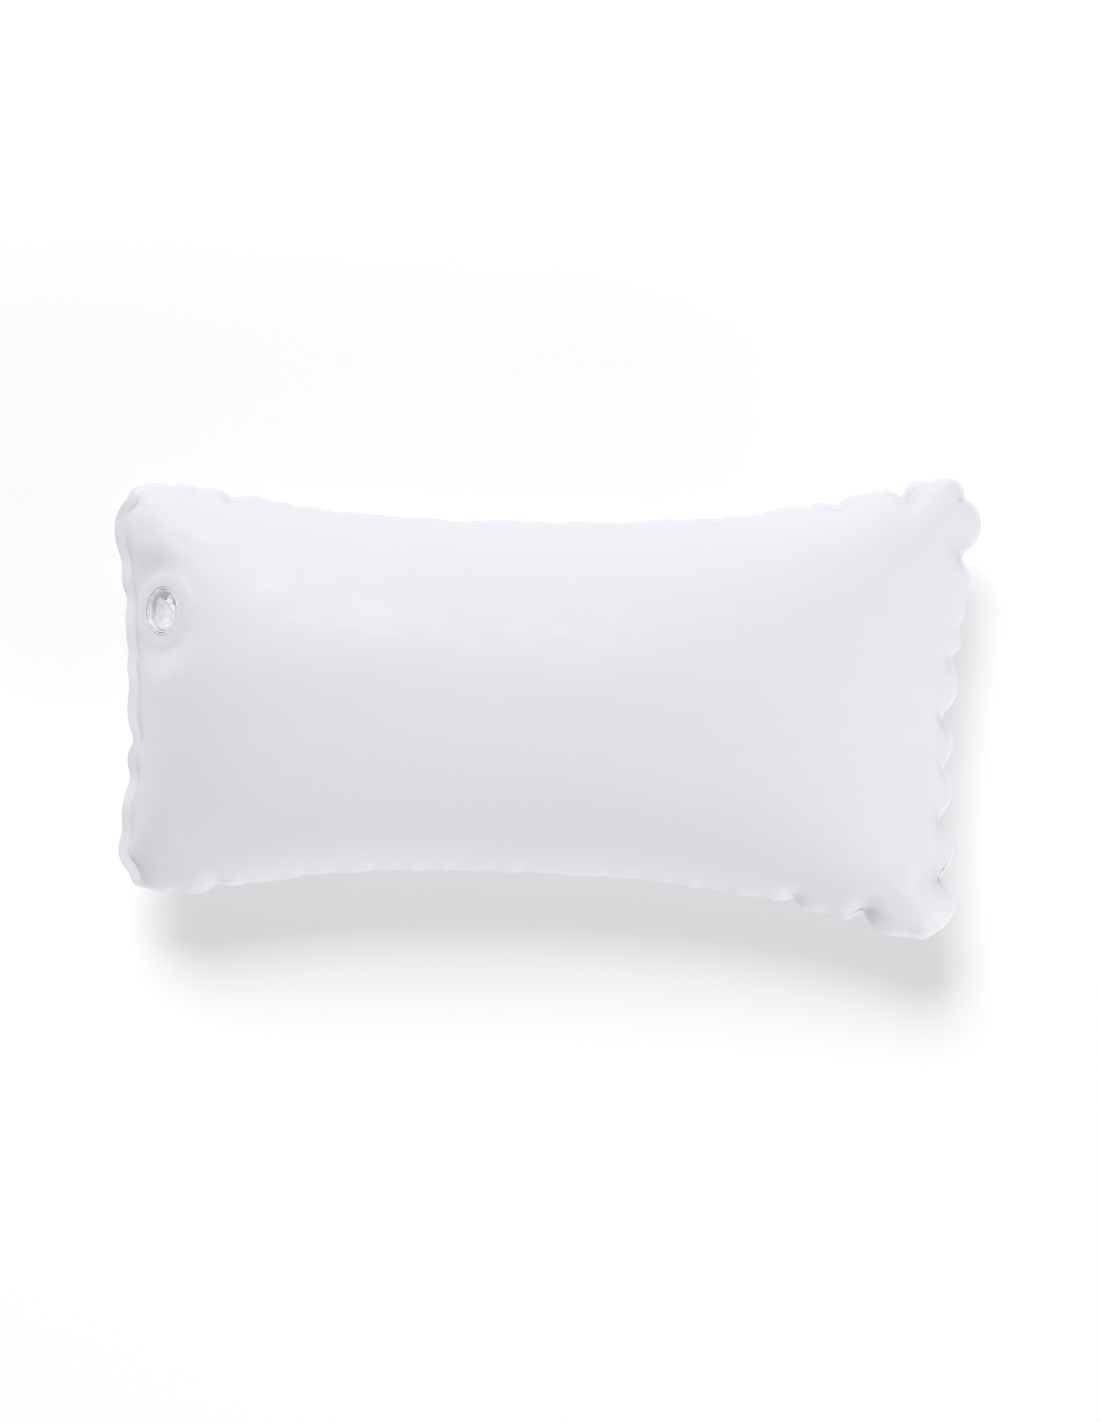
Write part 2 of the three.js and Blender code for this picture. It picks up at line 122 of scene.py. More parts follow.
class NodeTree:
    """A material's node tree, with short ways to add and join its nodes."""

    def __init__(self, name: str) -> None:
        """Makes an empty material with a Principled shader joined to its output."""
        self.material = bpy.data.materials.new(name)
        self.material.use_nodes = True
        self.nodes = self.material.node_tree.nodes
        self.links = self.material.node_tree.links
        self.nodes.clear()
        self.shader = self.nodes.new("ShaderNodeBsdfPrincipled")
        output = self.nodes.new("ShaderNodeOutputMaterial")
        self.links.new(self.shader.outputs["BSDF"], output.inputs["Surface"])
        coordinates = self.nodes.new("ShaderNodeTexCoord")
        self.place = coordinates.outputs["Object"]

    def noise(self, size: float, detail: float = 2.0,
              stretch: tuple = (1.0, 1.0, 1.0)) -> bpy.types.NodeSocket:
        """A noise over the piece's own coordinates.

        Args:
            size: The size of its patches, in metres.
            detail: How many finer layers it has.
            stretch: How many times closer together its patches are along each axis.

        Returns:
            The socket of its value, 0 to 1.
        """
        mapping = self.nodes.new("ShaderNodeMapping")
        mapping.inputs["Scale"].default_value = stretch
        self.links.new(self.place, mapping.inputs["Vector"])
        texture = self.nodes.new("ShaderNodeTexNoise")
        texture.inputs["Scale"].default_value = 1.0 / size
        texture.inputs["Detail"].default_value = detail
        self.links.new(mapping.outputs["Vector"], texture.inputs["Vector"])
        return texture.outputs["Fac"]

    def attribute(self, name: str) -> bpy.types.NodeSocket:
        """The value of a piece's own attribute."""
        node = self.nodes.new("ShaderNodeAttribute")
        node.attribute_name = name
        return node.outputs["Fac"]

    def math(self, operation: str, *values: object) -> bpy.types.NodeSocket:
        """A Math node over sockets and numbers, by its operation's name."""
        node = self.nodes.new("ShaderNodeMath")
        node.operation = operation
        for socket, value in zip(node.inputs, values):
            if isinstance(value, bpy.types.NodeSocket):
                self.links.new(value, socket)
            else:
                socket.default_value = value
        return node.outputs[0]

    def spread(self, value: bpy.types.NodeSocket, low: float, high: float,
               to_low: float, to_high: float) -> bpy.types.NodeSocket:
        """A value's stretch from low to high, laid over another stretch and held at its ends."""
        node = self.nodes.new("ShaderNodeMapRange")
        self.links.new(value, node.inputs["Value"])
        node.inputs["From Min"].default_value = low
        node.inputs["From Max"].default_value = high
        node.inputs["To Min"].default_value = to_low
        node.inputs["To Max"].default_value = to_high
        return node.outputs["Result"]

    def mix(self, share: bpy.types.NodeSocket, first: object, second: object) -> bpy.types.NodeSocket:
        """A mix of two colours, each a tuple or a socket, by a share."""
        node = self.nodes.new("ShaderNodeMix")
        node.data_type = "RGBA"
        self.links.new(share, node.inputs["Factor"])
        for socket, colour in ((node.inputs[6], first), (node.inputs[7], second)):
            if isinstance(colour, bpy.types.NodeSocket):
                self.links.new(colour, socket)
            else:
                socket.default_value = (*colour, 1.0)
        return node.outputs[2]

    def settings(self, **values: object) -> None:
        """Sets the shader's uniform inputs, whose names are given with _ for each space."""
        for name, value in values.items():
            self.shader.inputs[name.replace("_", " ")].default_value = value

    def bump(self, *layers: tuple) -> None:
        """Chains bumps into the shader's normal.

        Args:
            layers: Pairs of a height's socket and its depth in metres.
        """
        normal = None
        for height, depth in layers:
            node = self.nodes.new("ShaderNodeBump")
            node.inputs["Distance"].default_value = depth
            self.links.new(height, node.inputs["Height"])
            if normal is not None:
                self.links.new(normal, node.inputs["Normal"])
            normal = node.outputs["Normal"]
        self.links.new(normal, self.shader.inputs["Normal"])


@dataclass(frozen=True)
class FilmFinish:
    """Satin white PVC film, with a pressed band along the weld and painted shade darkening its gathers."""

    name: str = "white_film"
    colour: tuple = (0.762, 0.770, 0.812)
    cool: tuple = (0.745, 0.758, 0.808)
    welded: tuple = (0.775, 0.785, 0.825)
    # Painted shade: the darker colour that the film's gathers and creases are mixed towards.
    gather_shade: tuple = (0.60, 0.61, 0.65)
    roughness: float = 0.50
    roughness_play: float = 0.09
    weld_roughness: float = 0.40
    patch: float = 0.05
    scuff: float = 0.012
    grain: float = 0.0011
    grain_depth: float = 0.00005
    drag: float = 0.006
    drag_depth: float = 0.00006

    def build(self) -> bpy.types.Material:
        """Makes the material."""
        tree = NodeTree(self.name)
        weld = tree.attribute(Film.WELD)
        gather = tree.attribute(Film.GATHER)
        patches = tree.noise(self.patch, 3.0, (0.5, 1.6, 1.0))
        scuffs = tree.noise(self.scuff, 5.0, (0.6, 1.8, 1.0))
        grain = tree.noise(self.grain, 3.0)
        drag = tree.noise(self.drag, 2.0, (0.15, 1.0, 1.0))
        tone = tree.mix(tree.spread(patches, 0.35, 0.65, 0.0, 1.0), self.colour, self.cool)
        # Painted shade: the film is darkened where it is gathered into the notches, broken up by the scuffs
        # noise.
        painted_gather_shade = tree.math("MULTIPLY", tree.spread(gather, 0.15, 1.0, 0.0, 0.45),
                            tree.spread(scuffs, 0.3, 0.7, 0.5, 1.0))
        tone = tree.mix(painted_gather_shade, tone, self.gather_shade)
        tone = tree.mix(weld, tone, self.welded)
        tree.links.new(tone, tree.shader.inputs["Base Color"])
        rough = tree.spread(scuffs, 0.3, 0.7, self.roughness - self.roughness_play,
                            self.roughness + self.roughness_play)
        gloss = tree.math("MULTIPLY", weld, self.weld_roughness - self.roughness)
        tree.links.new(tree.math("ADD", rough, gloss), tree.shader.inputs["Roughness"])
        tree.bump((drag, self.drag_depth), (grain, self.grain_depth))
        tree.settings(IOR=1.53, Specular_IOR_Level=0.30, Sheen_Weight=0.08, Sheen_Roughness=0.5)
        return tree.material


@dataclass(frozen=True)
class VinylFinish:
    """Clear soft vinyl of the valve, with flow marks and haze.

    Its faint glow stands for the light that comes through the white film round it.
    """

    name: str = "clear_vinyl"
    colour: tuple = (0.86, 0.87, 0.89)
    hazed: tuple = (0.68, 0.69, 0.72)
    roughness: float = 0.06
    roughness_play: float = 0.06
    clearness: float = 0.20
    glow: float = 0.11
    flow: float = 0.0022
    flow_depth: float = 0.00030
    grain: float = 0.0005
    grain_depth: float = 0.00004

    def build(self) -> bpy.types.Material:
        """Makes the material."""
        tree = NodeTree(self.name)
        flow = tree.noise(self.flow, 2.0)
        grain = tree.noise(self.grain, 2.0)
        tone = tree.mix(tree.spread(flow, 0.35, 0.7, 0.0, 1.0), self.colour, self.hazed)
        tree.links.new(tone, tree.shader.inputs["Base Color"])
        tree.links.new(tree.spread(flow, 0.3, 0.7, self.roughness, self.roughness + self.roughness_play),
                       tree.shader.inputs["Roughness"])
        tree.bump((flow, self.flow_depth), (grain, self.grain_depth))
        tree.settings(IOR=1.53, Transmission_Weight=self.clearness, Coat_Weight=0.6, Coat_Roughness=0.05)
        tree.settings(Emission_Color=(0.92, 0.93, 0.96, 1.0), Emission_Strength=self.glow)
        return tree.material


@dataclass(frozen=True)
class FloorFinish:
    """A plain pale studio floor with the faintest unevenness."""

    name: str = "pale_floor"
    colour: tuple = (0.97, 0.97, 0.97)
    uneven: tuple = (0.95, 0.95, 0.95)
    glow: float = 0.07
    patch: float = 0.4

    def build(self) -> bpy.types.Material:
        """Makes the material."""
        tree = NodeTree(self.name)
        tone = tree.mix(tree.noise(self.patch, 1.0), self.colour, self.uneven)
        tree.links.new(tone, tree.shader.inputs["Base Color"])
        tree.settings(Roughness=0.9, Specular_IOR_Level=0.1)
        tree.settings(Emission_Color=(1.0, 1.0, 1.0, 1.0), Emission_Strength=self.glow)
        return tree.material


# ----------------------------------------------------------------------------------------------------
# Making and finishing pieces
# ----------------------------------------------------------------------------------------------------


def node_points(name: str) -> np.ndarray:
    """A CAD node's vertices as an array of points."""
    vertices = frame["nodes"][name].data.vertices
    points = np.empty(len(vertices) * 3, np.float32)
    vertices.foreach_get("co", points)
    return points.reshape(-1, 3).astype(float)


def linked(name: str, data: bpy.types.ID) -> bpy.types.Object:
    """A new object of the scene that holds a mesh, a light or a camera."""
    made = bpy.data.objects.new(name, data)
    bpy.context.scene.collection.objects.link(made)
    return made


def new_object(name: str, points: np.ndarray, faces: list) -> bpy.types.Object:
    """A mesh object at the origin, smooth shaded, from points and faces."""
    mesh = bpy.data.meshes.new(name)
    mesh.from_pydata([tuple(p) for p in points], [], [tuple(map(int, f)) for f in faces])
    mesh.update()
    mesh.shade_smooth()
    return linked(name, mesh)


def bridge(mesh: bmesh.types.BMesh, loops: list, closed: bool = False) -> None:
    """Joins each loop of vertices to the next by faces, where a loop of one vertex makes a fan."""
    for low, high in zip(loops, loops[1:] + (loops[:1] if closed else [])):
        for k in range(max(len(low), len(high))):
            corners = [low[(k - 1) % len(low)], low[k % len(low)],
                       high[k % len(high)], high[(k - 1) % len(high)]]
            mesh.faces.new(list(dict.fromkeys(corners)))


def settle(piece: bpy.types.Object) -> bpy.types.Object:
    """Turns what a piece's modifiers make into its own plain mesh, and removes them."""
    depsgraph = bpy.context.evaluated_depsgraph_get()
    made = bpy.data.meshes.new_from_object(piece.evaluated_get(depsgraph), depsgraph=depsgraph)
    old = piece.data
    piece.modifiers.clear()
    piece.data = made
    bpy.data.meshes.remove(old)
    made.name = piece.name
    return piece


def round_edges(piece: bpy.types.Object, width: float, segments: int, sharpest: float) -> None:
    """Adds a bevel of the edges that turn by more than an angle in degrees."""
    rounding = piece.modifiers.new("Bevel", "BEVEL")
    rounding.width = width
    rounding.segments = segments
    rounding.limit_method = "ANGLE"
    rounding.angle_limit = math.radians(sharpest)


def dress(piece: bpy.types.Object, material: bpy.types.Material, body: Body,
          replaced: tuple = ()) -> bpy.types.Object:
    """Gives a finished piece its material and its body.

    Args:
        piece: The finished piece.
        material: The material that covers it.
        body: The body that it rides on.
        replaced: The CAD nodes that it stands for.

    Returns:
        The piece.
    """
    piece.data.materials.clear()
    piece.data.materials.append(material)
    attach(piece, body.value)
    if replaced:
        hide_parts(*replaced)
    LOG.info("%s rides on %s, %d faces", piece.name, body.value, len(piece.data.polygons))
    return piece


def smoothstep(x: np.ndarray, low: float, high: float) -> np.ndarray:
    """A smooth rise from 0 at low to 1 at high."""
    t = np.clip((x - low) / (high - low), 0.0, 1.0)
    return t * t * (3.0 - 2.0 * t)


# ----------------------------------------------------------------------------------------------------
# The envelope: both sheets
# ----------------------------------------------------------------------------------------------------


@dataclass
class Outline:
    """The rim's line along the weld, in plan: a rounded rectangle whose sides bow in, wider at one end."""

    half_length: float = 0.184
    half_width: float = 0.099
    corner_radius: float = 0.036
    long_bow: float = 0.0297
    far_bow: float = 0.016
    valve_bow: float = 0.0135
    bow_power: float = 2.6
    length_taper: float = 0.02
    width_taper: float = 0.06

    def length_at(self, x: np.ndarray, y: np.ndarray) -> np.ndarray:
        """The length from the middle to the weld of the end that x is in, off the centre line."""
        across = np.clip(y / self.half_width, -1.0, 1.0)
        bow = np.where(x < 0, self.valve_bow, self.far_bow)
        bowed = self.half_length - bow * (1.0 - np.abs(across)**self.bow_power)
        return bowed * (1.0 + self.length_taper * across)

    def width_at(self, x: np.ndarray) -> np.ndarray:
        """Half the width between the welds of the long sides, off the middle."""
        along = np.clip(x / self.half_length, -1.0, 1.0)
        bowed = self.half_width - self.long_bow * (1.0 - np.abs(along)**self.bow_power)
        return bowed * (1.0 + self.width_taper * along)

    def bow(self, x: np.ndarray, y: np.ndarray) -> tuple:
        """Draws in the sides of a plain rectangle's points."""
        return x * self.length_at(x, y) / self.half_length, y * self.width_at(x) / self.half_width

    def squeeze(self, u: np.ndarray, v: np.ndarray, inset: float, radius: float) -> tuple:
        """Rounds the corners of a rectangle's grid by squeezing each corner square to a quarter disc.

        Args:
            u: Places along, as shares from -1 to 1.
            v: Places across, as shares from -1 to 1.
            inset: How far the rectangle is inside the rim's own.
            radius: The corner radius.

        Returns:
            The places in metres along and across.
        """
        length, width = self.half_length - inset, self.half_width - inset
        x, y = u * length, v * width
        past_x, past_y = np.abs(x) - (length - radius), np.abs(y) - (width - radius)
        corner = (past_x > 0) & (past_y > 0)
        share = np.maximum(past_x, past_y) / np.maximum(np.hypot(past_x, past_y), 1e-9)
        share = np.where(corner, share, 1.0)
        x = np.where(corner, np.sign(x) * (length - radius + past_x * share), x)
        y = np.where(corner, np.sign(y) * (width - radius + past_y * share), y)
        return x, y

    def fullness(self, x: np.ndarray, y: np.ndarray) -> np.ndarray:
        """How full the pillow is: 1 at the middle and 0 on all four sides."""
        along = 1.0 - np.minimum(1.0, np.abs(x) / self.length_at(x, y))**4
        across = 1.0 - np.minimum(1.0, np.abs(y) / self.width_at(x))**2
        return along * across


@dataclass(frozen=True)
class Gather:
    """A notch that the swelling film pulls into the weld: a place near the rim, and how deep it is."""

    x: float
    y: float
    depth: float


GATHERS = (
    Gather(0.119, 0.088, 0.0022), Gather(0.146, 0.096, 0.0040), Gather(0.172, 0.088, 0.0030),
    Gather(0.176, 0.062, 0.0052), Gather(0.173, 0.035, 0.0014), Gather(0.173, 0.022, 0.0030),
    Gather(0.168, -0.005, 0.0042), Gather(0.168, -0.026, 0.0034), Gather(0.170, -0.046, 0.0042),
    Gather(0.172, -0.073, 0.0058), Gather(0.136, -0.086, 0.0042), Gather(0.107, -0.080, 0.0022),
    Gather(0.070, 0.082, 0.0012), Gather(-0.132, 0.087, 0.0020), Gather(-0.144, 0.091, 0.0012),
    Gather(-0.158, 0.092, 0.0012), Gather(-0.176, -0.024, 0.0020), Gather(-0.172, -0.078, 0.0014),
    Gather(-0.134, -0.082, 0.0020),
)


@dataclass
class Inflation:
    """The cloth simulation that swells the two welded sheets."""

    frames: int = 24
    pressure: float = 5.0
    mass: float = 0.3
    stretch: float = 40.0
    shear: float = 20.0
    bending: float = 0.25
    damping: float = 5.0
    quality: int = 6
    growth: float = 0.13
    pin_stiffness: float = 12.0
    cap: float = 0.006

    def run(self, points: np.ndarray, faces: list, bag: int, grow: np.ndarray, pin: np.ndarray) -> np.ndarray:
        """Swells the sheets for a few frames.

        Args:
            points: The start of every vertex.
            faces: The faces of both sheets and of the weld.
            bag: How many of the first vertices hold air between them.
            grow: How much each vertex's film is gathered, from 0 to 1.
            pin: How strongly each vertex keeps its place, from 0 to 1.

        Returns:
            Where the vertices come to rest, none further from its start than the cap.
        """
        piece = new_object("inflating", points, faces)
        groups = {"bag": (np.arange(len(points)) < bag).astype(float), "grow": grow, "pin": pin}
        for name, weights in groups.items():
            group = piece.vertex_groups.new(name=name)
            for index in np.nonzero(weights > 0)[0]:
                group.add([int(index)], float(weights[index]), "REPLACE")
        modifier = piece.modifiers.new("Cloth", "CLOTH")
        cloth = modifier.settings
        cloth.quality = self.quality
        cloth.mass = self.mass
        cloth.air_damping = 1.0
        cloth.tension_stiffness = cloth.compression_stiffness = self.stretch
        cloth.shear_stiffness = self.shear
        cloth.bending_stiffness = self.bending
        cloth.tension_damping = cloth.compression_damping = cloth.shear_damping = self.damping
        cloth.bending_damping = 0.5
        cloth.use_pressure = True
        cloth.uniform_pressure_force = self.pressure
        cloth.vertex_group_pressure = "bag"
        cloth.shrink_min = 0.0
        cloth.shrink_max = -self.growth
        cloth.vertex_group_shrink = "grow"
        cloth.vertex_group_mass = "pin"
        cloth.pin_stiffness = self.pin_stiffness
        cloth.effector_weights.gravity = 0.0
        modifier.collision_settings.use_collision = False
        modifier.point_cache.frame_start = 1
        modifier.point_cache.frame_end = self.frames + 1
        for step in range(1, self.frames + 1):
            bpy.context.scene.frame_set(step)
        swollen = piece.evaluated_get(bpy.context.evaluated_depsgraph_get()).data
        moved = np.empty(len(points) * 3, np.float32)
        swollen.vertices.foreach_get("co", moved)
        moved = moved.reshape(-1, 3).astype(float) - points
        mesh = piece.data
        bpy.data.objects.remove(piece)
        bpy.data.meshes.remove(mesh)
        bpy.context.scene.frame_set(1)
        far = np.linalg.norm(moved, axis=1, keepdims=True)
        LOG.info("film moved %.1f mm at most", far.max() / MM)
        return points + moved * np.minimum(1.0, self.cap / np.maximum(far, 1e-9))


@dataclass
class Seat:
    """The valve's place on the upper sheet, from the CAD washer: w runs out of the pillow from the film."""

    lip_below: float = 0.0002
    washer_radius: float = 0.0145
    step: float = 0.00030
    step_inside: float = 0.0008
    step_outside: float = 0.0020
    hole_radius: float = 0.0102
    matrix: Matrix = field(init=False)

    def __post_init__(self) -> None:
        """Finds the seat's axes and centre from the washer's mesh and the slide's axis."""
        joint = next(j for j in frame["joints"] if j["name"] == "stem_slide")
        out = Vector(joint["axis"]).normalized()
        side = (Vector((0.0, 1.0, 0.0)) - out * out.y).normalized()
        length = side.cross(out)
        washer = node_points("valve_flange")
        spans = [washer @ np.array(axis) for axis in (length, side, out)]
        self.washer_radius = float(np.ptp(spans[0])) / 2
        middle = [(s.max() + s.min()) / 2 for s in spans[:2]]
        height = spans[2].max() + self.lip_below
        centre = length * middle[0] + side * middle[1] + out * height
        self.matrix = Matrix.Translation(centre) @ Matrix((length, side, out)).transposed().to_4x4()

    def sunk(self, reach: np.ndarray, thickness: float) -> np.ndarray:
        """The w of the film's inside at a distance from the axis, with a step over the washer's edge."""
        edge = self.washer_radius
        return -thickness - self.step * smoothstep(reach, edge - self.step_inside, edge + self.step_outside)

    def local(self, points: np.ndarray) -> np.ndarray:
        """Points of the pillow's frame in the seat's own."""
        inverse = np.array(self.matrix.inverted())
        return points @ inverse[:3, :3].T + inverse[:3, 3]

    def placed(self, points: np.ndarray) -> np.ndarray:
        """Points of the seat's own frame in the pillow's."""
        matrix = np.array(self.matrix)
        return points @ matrix[:3, :3].T + matrix[:3, 3]


@dataclass
class Film:
    """Both sheets, blown up: their meshes share one grid, so that they meet along the weld."""

    seat: Seat
    finish: FilmFinish = field(default_factory=FilmFinish)
    inflation: Inflation = field(default_factory=Inflation)
    outline: Outline = field(default_factory=Outline)
    crown: float = 0.047
    thickness: float = 0.00035
    weld_width: float = 0.0045
    cells_along: int = 112
    cells_across: int = 50
    rings: int = 12
    band: float = 0.024
    inner_corner: float = 0.010
    weld_rings: int = 3
    crowding: float = 1.667
    cusp: float = 2.1
    bulge: float = 0.0026
    retuck: float = 0.65
    softness: float = 0.0011
    dish_reach: float = 0.0150
    least_droop: float = 8.0
    more_droop: float = 54.0
    droop_wave: float = 0.30
    wave: float = 0.0007
    full_gather: float = 0.002
    easing: int = 30
    seed: int = 11

    WELD = "weld"
    GATHER = "gather"

    def __post_init__(self) -> None:
        """Takes the weld's height and the overall size from the frame."""
        upper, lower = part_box("upper_sheet"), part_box("lower_sheet")
        self.weld_height = (upper[0].z + lower[1].z) / 2
        self.low = lower[0].z
        u, v = self._loop_shares()
        for _ in range(3):
            x, y = self.outline.bow(*self.outline.squeeze(u, v, 0.0, self.outline.corner_radius))
            spare = (upper[1] - upper[0]) / 2
            self.outline.half_length += spare.x - self.weld_width - float(np.ptp(x)) / 2
            self.outline.half_width += spare.y - self.weld_width - float(np.ptp(y)) / 2
        self.shift = (upper[0].x + upper[1].x - float(x.max() + x.min())) / 2

    def _grid_loop(self) -> np.ndarray:
        """The grid's boundary vertices as pairs of indices, anticlockwise from one corner."""
        along, across = self.cells_along, self.cells_across
        return np.array([(i, 0) for i in range(along)] + [(along, j) for j in range(across)]
                        + [(i, across) for i in range(along, 0, -1)] + [(0, j) for j in range(across, 0, -1)])

    def _loop_shares(self) -> tuple:
        """The boundary vertices' places along and across, as shares from -1 to 1."""
        loop = self._grid_loop()
        return 2.0 * loop[:, 0] / self.cells_along - 1.0, 2.0 * loop[:, 1] / self.cells_across - 1.0

    def _plan(self) -> None:
        """Lays out the sheets in plan: an inner grid, and rings from it out to the weld."""
        outline = self.outline
        u, v = np.meshgrid(np.linspace(-1, 1, self.cells_along + 1),
                           np.linspace(-1, 1, self.cells_across + 1), indexing="ij")
        grid = np.stack(outline.squeeze(u, v, self.band, self.inner_corner), -1)
        loop = self._grid_loop()
        inner = grid[loop[:, 0], loop[:, 1]]
        rim = np.stack(outline.squeeze(*self._loop_shares(), 0.0, outline.corner_radius), -1)
        shares = (np.arange(self.rings) / self.rings)**self.crowding
        rings = [rim + (inner - rim) * share for share in shares]
        plain = np.concatenate([*rings, grid.reshape(-1, 2)])
        self.plan = np.stack(outline.bow(plain[:, 0], plain[:, 1]), -1)
        count = len(loop)
        self.count = count
        self.rim = self.plan[:count]
        grid_index = count * self.rings + np.arange(grid.shape[0] * grid.shape[1]).reshape(grid.shape[:2])
        loops = [np.arange(count) + count * k for k in range(self.rings)]
        loops.append(grid_index[loop[:, 0], loop[:, 1]])
        faces = [np.stack([a, np.roll(a, -1), np.roll(b, -1), b], 1) for a, b in zip(loops, loops[1:])]
        corners = [grid_index[:-1, :-1], grid_index[1:, :-1], grid_index[1:, 1:], grid_index[:-1, 1:]]
        faces.append(np.stack([c.ravel() for c in corners], 1))
        self.sheet_faces = np.concatenate(faces)

    def _heights(self) -> np.ndarray:
        """How high the blown-up film stands above the weld over each point of the plan."""
        x, y = self.plan.T
        outline = self.outline
        angle = np.arctan2(y / outline.half_width, x / outline.half_length)
        rim_angle = angle[: self.count]
        order = np.argsort(rim_angle)
        rim_reach = np.hypot(*self.rim.T)
        rim_fullness = outline.fullness(*self.rim.T)
        reach = np.interp(angle, rim_angle[order], rim_reach[order], period=2 * math.pi)
        over_corner = np.interp(angle, rim_angle[order], rim_fullness[order], period=2 * math.pi)
        share = np.clip(np.hypot(x, y) / reach, 0.0, 1.0)
        heights = self.crown * np.maximum(0.0, outline.fullness(x, y) - over_corner * share**6)**0.6
        heights[: self.count] = 0.0
        pairs = np.concatenate([self.sheet_faces[:, [k, (k + 1) % 4]] for k in range(4)])
        pairs = np.concatenate([pairs, pairs[:, ::-1]])
        weights = 1.0 / np.linalg.norm(self.plan[pairs[:, 0]] - self.plan[pairs[:, 1]], axis=1)
        total = np.bincount(pairs[:, 0], weights)
        for _ in range(self.easing):
            mean = np.bincount(pairs[:, 0], weights * heights[pairs[:, 1]]) / total
            heights = (heights + mean) / 2
            heights[: self.count] = 0.0
        return heights

    def _rim_frame(self) -> None:
        """Measures along the rim: each vertex's distance along it, and its outward direction."""
        steps = np.linalg.norm(np.roll(self.rim, -1, 0) - self.rim, axis=1)
        self.rim_length = float(steps.sum())
        self.rim_along = np.concatenate([[0.0], np.cumsum(steps)[:-1]])
        tangent = np.roll(self.rim, -2, 0) - np.roll(self.rim, 2, 0)
        tangent /= np.linalg.norm(tangent, axis=1, keepdims=True)
        self.rim_out = np.stack([tangent[:, 1], -tangent[:, 0]], 1)

    def _gathers(self) -> tuple:
        """Every notch along the rim: the chosen ones, and small ones in what is left between them.

        Returns:
            Their distances along the rim, their depths, and which way each lifts the weld.
        """
        rng = np.random.default_rng(self.seed)
        chosen = []
        for gather in GATHERS:
            nearest = int(np.argmin(np.hypot(self.rim[:, 0] - gather.x, self.rim[:, 1] - gather.y)))
            chosen.append((float(self.rim_along[nearest]), gather.depth))
        chosen.sort()
        places = []
        for (start, depth), (end, _) in zip(chosen, chosen[1:] + [(chosen[0][0] + self.rim_length, 0.0)]):
            places.append((start, depth))
            middle = int(np.searchsorted(self.rim_along, (start + end) / 2 % self.rim_length)) % self.count
            endness = abs(self.rim[middle, 0]) / self.outline.half_length
            spacing = 0.012 + 0.007 * endness
            between = max(0, int(round((end - start) / spacing)) - 1)
            for k in range(between):
                place = start + (end - start) * (k + 1 + rng.uniform(-0.28, 0.28)) / (between + 1)
                depth_here = rng.uniform(0.0004, 0.0011) * (0.6 + 1.1 * endness**3)
                places.append((place % self.rim_length, depth_here))
        places.sort()
        at, depth = np.array(places).T
        lift = rng.uniform(0.15, 0.6, len(at)) * np.where(rng.random(len(at)) < 0.5, -1.0, 1.0)
        return at, depth, lift

    def _scallops(self, blur: np.ndarray, nearest: np.ndarray) -> tuple:
        """The lobes that the notches leave between them.

        Args:
            blur: How soft the notch is at each point, in metres.
            nearest: Each point's nearest rim vertex.

        Returns:
            For each point, how far it is drawn in, how far it is lifted, and the notch's own reach.
        """
        at, depth, lift = self._gathers()
        along = self.rim_along[nearest]
        after = np.searchsorted(at, along, side="right") % len(at)
        before = (after - 1) % len(at)
        span = (at[after] - at[before]) % self.rim_length
        from_before = (along - at[before]) % self.rim_length
        first = from_before < span / 2
        notch = np.where(first, before, after)
        apart = np.where(first, from_before, span - from_before)
        soft = np.sqrt(apart**2 + blur**2) - blur
        share = np.clip(1.0 - soft / (span / 2), 0.0, 1.0)
        drawn = depth[notch] * share**self.cusp
        lifted = depth[notch] * lift[notch] * share * share * (3.0 - 2.0 * share)
        return drawn, lifted, 0.006 + 3.3 * depth[notch]

    def _start(self) -> tuple:
        """The start of both sheets and the weld, gathered along the rim.

        Returns:
            The points, the faces, how many points hold air, and each point's growth and pin weights.
        """
        heights = self._heights()
        count, total = self.count, len(self.plan)
        below = np.concatenate([np.arange(count), total + np.arange(total - count)])
        waves = np.array([noise.noise((x * 9.0, y * 34.0, 0.0)) for x, y in self.plan])
        waves *= self.wave * smoothstep(heights, 0.010, 0.030)
        top = np.column_stack([self.plan, heights + waves])
        bottom = np.column_stack([self.plan, -heights])[count:]
        sheets = np.concatenate([top, bottom])
        faces = np.concatenate([self.sheet_faces, below[self.sheet_faces][:, ::-1]])
        bag = len(sheets)
        tree = KDTree(count)
        for index, (x, y) in enumerate(self.rim):
            tree.insert((x, y, 0.0), index)
        tree.balance()
        nearest = np.array([tree.find((x, y, 0.0))[1] for x, y, _ in sheets])
        from_rim = np.hypot(np.linalg.norm(sheets[:, :2] - self.rim[nearest], axis=1), sheets[:, 2])
        drawn, lifted, reach = self._scallops(0.0004 + 0.28 * from_rim, nearest)
        fade = np.clip(1.0 - from_rim / reach, 0.0, 1.0)**1.4
        mesh = bpy.data.meshes.new("normals")
        mesh.from_pydata(sheets.tolist(), [], faces.tolist())
        normals = np.empty(bag * 3, np.float32)
        mesh.vertex_normals.foreach_get("vector", normals)
        bpy.data.meshes.remove(mesh)
        normals = normals.reshape(-1, 3).astype(float)
        covers = smoothstep(sheets[:, 0] / self.outline.half_length, -0.96, -0.70)
        bulge = self.bulge * covers * np.clip(1.0 - from_rim / 0.030, 0.0, 1.0)**1.3
        tuck = -normals * (drawn * fade)[:, None]
        sheets = sheets + tuck + normals * bulge[:, None]
        sheets[:, 2] += lifted * fade
        self.gather = np.clip(drawn * fade / self.full_gather, 0.0, 1.0)
        weld, weld_faces, weld_gather = self._weld(sheets[:count], drawn[:count], lifted[:count], bag)
        points = np.concatenate([sheets, weld])
        self.tuck = np.concatenate([tuck, np.tile(tuck[:count], (self.weld_rings, 1))])
        self.gather = np.concatenate([self.gather, weld_gather])
        endness = np.clip((np.abs(self.rim[:, 0]) / self.outline.half_length - 0.35) / 0.6, 0.0, 1.0)
